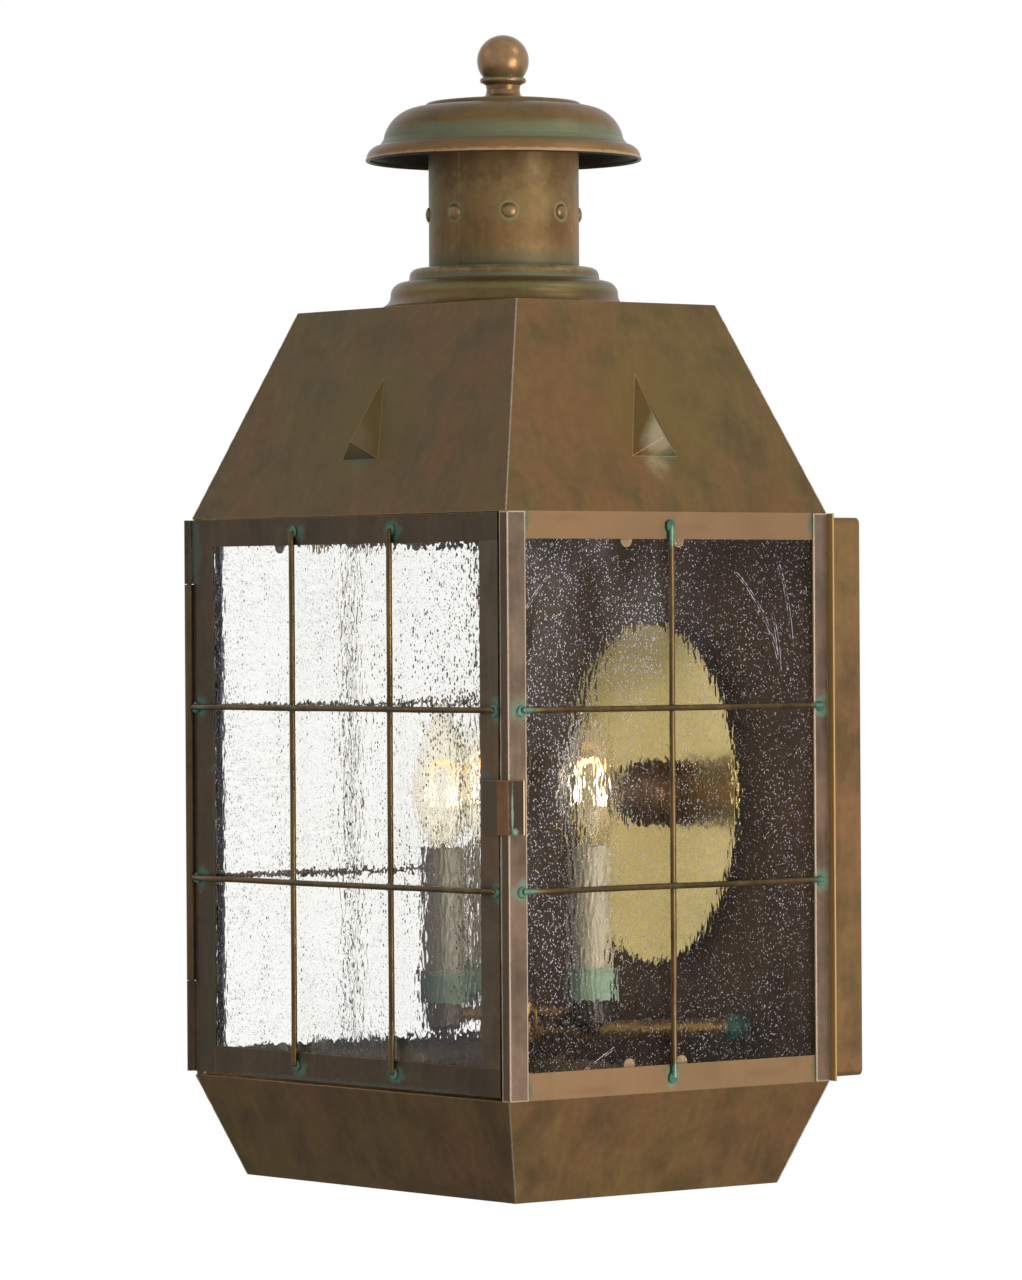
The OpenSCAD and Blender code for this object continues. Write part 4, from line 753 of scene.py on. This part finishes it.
line += [(side_x - bend_r + bend_r * math.sin(a), front_y + bend_r - bend_r * math.cos(a))
         for a in (math.pi / 2 * i / bend_steps for i in range(1, bend_steps + 1))]
line += [(side_x, -214.5), (127.9, -214.0), (128.15, -213.5), (128.5, -213.0)]
line = [Vector((x, y, 0)) for x, y in line]
outer, inner = [], []
for i, p in enumerate(line):
    step = (line[min(i + 1, len(line) - 1)] - line[max(i - 1, 0)]).normalized()
    half = Vector((step.y, -step.x, 0)) * clip_t / 2
    outer.append(p + half)
    inner.append(p - half)
noses = []
for tip, before, edge in ((line[-1], line[-2], outer[-1]), (line[0], line[1], inner[0])):
    front, half = tip + (tip - before).normalized() * nose, (edge - tip) * 0.5
    noses.append([front + half, front - half])
outline = outer + noses[0] + inner[::-1] + noses[1]
levels = ((clip_low, clip_round), (clip_low + clip_round, 0.0), (clip_top - clip_round, 0.0),
          (clip_top, clip_round))
points = []
for z, inset in levels:
    for before, p, after in zip(outline[-1:] + outline, outline, outline[1:] + outline[:1]):
        step = (after - before).normalized()
        points.append(p + Vector((-step.y, step.x, 0)) * inset + Vector((0, 0, z)))
keep("latch_spring_clip", (points, join_rows(len(levels), len(outline))), latch_brass, "latch",
     ["latch_clip"], 30)

# Reflector. An oval dish pressed from brass, once polished and now a flat straw yellow, with a rolled rim.
# A turned brass knob at its middle draws the lantern back onto the strap.
dish_a, dish_b, dish_bore, dish_depth, dish_flat, dish_wall, dish_y = 66.0, 86.4, 4.95, 8.0, 0.28, 0.8, -18.0
rim_r, rim_from, rim_step, rim_points, dish_rings, dish_sides = 1.0, 200, 30, 9, 22, 120
shares = [i / dish_rings * (1 - rim_r / dish_a) for i in range(dish_rings + 1)]
rows = [(share, -dish_wall, None) for share in shares]
rows += [(None, None, math.radians(rim_from - rim_step * i)) for i in range(rim_points)]
rows += [(share, 0.0, None) for share in reversed(shares)]
points = []
for share, lift, turn in rows:
    for j in range(dish_sides):
        a = 2 * math.pi * j / dish_sides
        if turn is None:
            x = (dish_bore + (dish_a - dish_bore) * share) * math.cos(a)
            z = (dish_bore + (dish_b - dish_bore) * share) * math.sin(a)
            reach = math.hypot(x / dish_a, z / dish_b)
            rise = dish_depth * (max(0.0, reach - dish_flat) / (1 - dish_flat)) ** 2
            points.append((x, dish_y + lift - rise, z))
        else:
            reach = (dish_a - rim_r) / dish_a
            rise = dish_depth * ((reach - dish_flat) / (1 - dish_flat)) ** 2
            outward = rim_r * (1 + math.cos(turn)) - rim_r
            x = (dish_a - rim_r + outward) * math.cos(a)
            z = (dish_b - rim_r + outward) * math.sin(a)
            points.append((x, dish_y - dish_wall / 2 - rise - rim_r * math.sin(turn), z))
reflector_brass = aged_brass("dulled_polished_brass", "#c9b371", "#dac580", "#e6d494", "#d3b874", rough=0.22,
                             metal=0.85, edge=0.0, grime_and_shade=0.3, streaks=0.3)
keep("reflector_dish", (points, join_rows(len(rows), dish_sides, closed=True)), reflector_brass, "lantern",
     ["reflector"], 50)
knob_brass = aged_brass("aged_brass_turned_knob", "#4a3c2a", "#614d35", "#7b6445", "#664b34", rough=0.3)
dress(knob_brass, "fixing_knob")

# Lamp cluster. Brass tubes brazed to a turned hub carry three turned seats. The feet and the spun cups
# have gone green all over, and the arms have kept their brass.
arm_brass = aged_brass("turned_brass_arm", "#5e4a2b", "#7a6035", "#957846", "#715633", rough=0.34, metal=0.7,
                       edge=0.3)
dress(arm_brass, "bracket_arms", "cluster_hub", "candle_arms")
seat_brass = aged_brass("blackened_turned_seat", "#1f1c1d", "#2b2827", "#454347", "#332a24", rough=0.35)
dress(seat_brass, "candle_bases")
# The front cup is painted darker, as shade.
front_cup_shade = past(1, -145, -140)
cup_brass = aged_brass("pale_verdigris_on_brass", "#5b7568", "#779084", "#94ab9c", "#7a8a72", rubbed_and_glint_tone="#c9b58a",
                       rough=0.68, metal=0.08, edge=0.8, marks=[(front_cup_shade, "#34423b", 0.75, 0.1, 0.0)])
dress(cup_brass, "candle_cup_left", "candle_cup_right", "candle_cup_front")
foot_brass = aged_brass("dark_verdigris_on_brass", "#284a40", "#3c6a5c", "#5b8c7c", "#3d5546", rough=0.6,
                        metal=0.1)
dress(foot_brass, "bracket_feet")

# Candles. Sleeves of cream moulded plastic over dark phenolic sockets, satin like wax.
cream, tree, where, drip, tint = mottled("cream_moulded_sleeve", "#8a806b", "#aba28b", patch_mm=14, detail=5.0)
# The sleeves are painted darker toward the front, as shade.
front_shade = past(1, -155, -108, 0.3, 0.85)(tree, where)
tint = add(tree, "HueSaturation", {"Color": tint, "Value": front_shade})
matt = add(tree, "MapRange", {"Value": drip, "To Min": 0.38, "To Max": 0.55})
wax = add(tree, "Bump", {"Height": drip, "Distance": 0.0003, "Strength": 0.4})
surface(tree, {"Base Color": tint, "Roughness": matt, "Normal": wax, "IOR": 1.49})
dress(cream, "candle_sleeve_left", "candle_sleeve_right", "candle_sleeve_front")

phenolic, tree, _, flow, tint = mottled("moulded_phenolic_socket", "#231b16", "#33271f", patch_mm=6, detail=4.0)
matt = add(tree, "MapRange", {"Value": flow, "To Min": 0.32, "To Max": 0.5})
surface(tree, {"Base Color": tint, "Roughness": matt})
dress(phenolic, "lamp_sockets")

# Bulbs. Blown clear glass on a nickel plated screw base, with a glass stem, two leads and a coiled
# filament bent over like a hairpin, which glows a warm yellow.
nickel, tree, _, tarnish, tint = mottled("nickel_plated_screw_shell", "#a39f94", "#c9c5ba", patch_mm=3,
                                         detail=4.0)
matt = add(tree, "MapRange", {"Value": tarnish, "To Min": 0.22, "To Max": 0.36})
surface(tree, {"Base Color": tint, "Metallic": 1.0, "Roughness": matt})
dress(nickel, "bulb_bases")

bulb_glass, tree, _, blow, tint = mottled("blown_bulb_glass", "#fdf8ea", "#fffdf6", patch_mm=16, detail=2.0)
gather = add(tree, "Bump", {"Height": blow, "Distance": 0.0004, "Strength": 0.3})
surface(tree, {"Base Color": tint, "Transmission Weight": 1.0, "Roughness": 0.0, "IOR": 1.45, "Normal": gather})
dress(bulb_glass, "bulb_left", "bulb_right", "bulb_front")

glow, tree, where = new_material("glowing_tungsten_coil")
heat_mm = 3
heat = add(tree, "TexNoise", {"Vector": where, "Scale": 1000 / heat_mm, "Detail": 2.0})
upper = past(2, 6, 20)(tree, where)
warmth = add(tree, "Math", {0: heat, 1: upper}, operation="MULTIPLY")
warmth = add(tree, "Math", {0: warmth, 1: 1.8}, operation="MULTIPLY", use_clamp=True)
tint = add(tree, "Mix", {"Factor": warmth, "A": linear("#fff6ea"), "B": linear("#ffbe58")}, data_type="RGBA")
brightness = past(1, -145, -120, 1.0, 3.6)(tree, where)
surface(tree, {"Base Color": tint, "Emission Color": tint, "Emission Strength": brightness, "Roughness": 0.5})

bulb_foot, stem_h, lead_rise, lead_r, leg_x, leg_l = -26.0, 14, 8, 0.4, 5.6, 17
coil_r, coil_wire, coil_pitch, coil_points, arch_points = 1.15, 0.32, 1.4, 9, 40
leg_z = stem_h + lead_rise
stem_radii = [2.2, 2.2, 2.0, 1.8, 1.7, 1.7, 1.8, 2.1, 2.2]
coils, leads, stems = [], [], []
for x, y, seat_turn in ((-37.75, -101.09, 140), (34.82, -96.01, 50), (2.93, -161.4, 50)):
    turn = Matrix.Rotation(math.radians(seat_turn), 3, "Z")
    foot = Vector((x, y, bulb_foot))
    hairpin = between((-leg_x, 0, leg_z), (-leg_x, 0, leg_z + leg_l), arch_points)
    hairpin += [Vector((-leg_x * math.cos(a), 0, leg_z + leg_l + leg_x * math.sin(a)))
                for a in (math.pi * i / arch_points for i in range(1, arch_points))]
    hairpin += between((leg_x, 0, leg_z + leg_l), (leg_x, 0, leg_z), arch_points)
    run = [0.0]
    for a, b in zip(hairpin, hairpin[1:]):
        run.append(run[-1] + (b - a).length)
    spiral, at, place = [], 0, 0.0
    while place < run[-1]:
        while run[at + 1] < place:
            at += 1
        middle = hairpin[at].lerp(hairpin[at + 1], (place - run[at]) / (run[at + 1] - run[at]))
        step = (hairpin[at + 1] - hairpin[at]).normalized()
        side = Vector((0, 1, 0))
        other = step.cross(side)
        phase = 2 * math.pi * place / coil_pitch
        spiral.append(foot + turn @ (middle + coil_r * (side * math.cos(phase) + other * math.sin(phase))))
        place += coil_pitch / coil_points
    coils.append(tube(spiral, [coil_wire] * len(spiral), 5))
    for end in (-1, 1):
        path = [Vector(p) for p in ((end, 0, stem_h - 1), (end * 1.2, 0, stem_h + 1),
                                    (end * leg_x * 0.9, 0, leg_z - 1.2), (end * leg_x, 0, leg_z + 1))]
        leads.append(tube([foot + turn @ p for p in path], [lead_r] * 4, 8))
    stem = between((0, 0, 0.2), (0, 0, stem_h), len(stem_radii))
    stems.append(tube([foot + p for p in stem], stem_radii))
keep("bulb_coils", together(coils), glow, "lantern", ["bulb_filaments"], 60)
keep("bulb_leads", together(leads), nickel, "lantern")
keep("bulb_stems", together(stems), bulb_glass, "lantern")
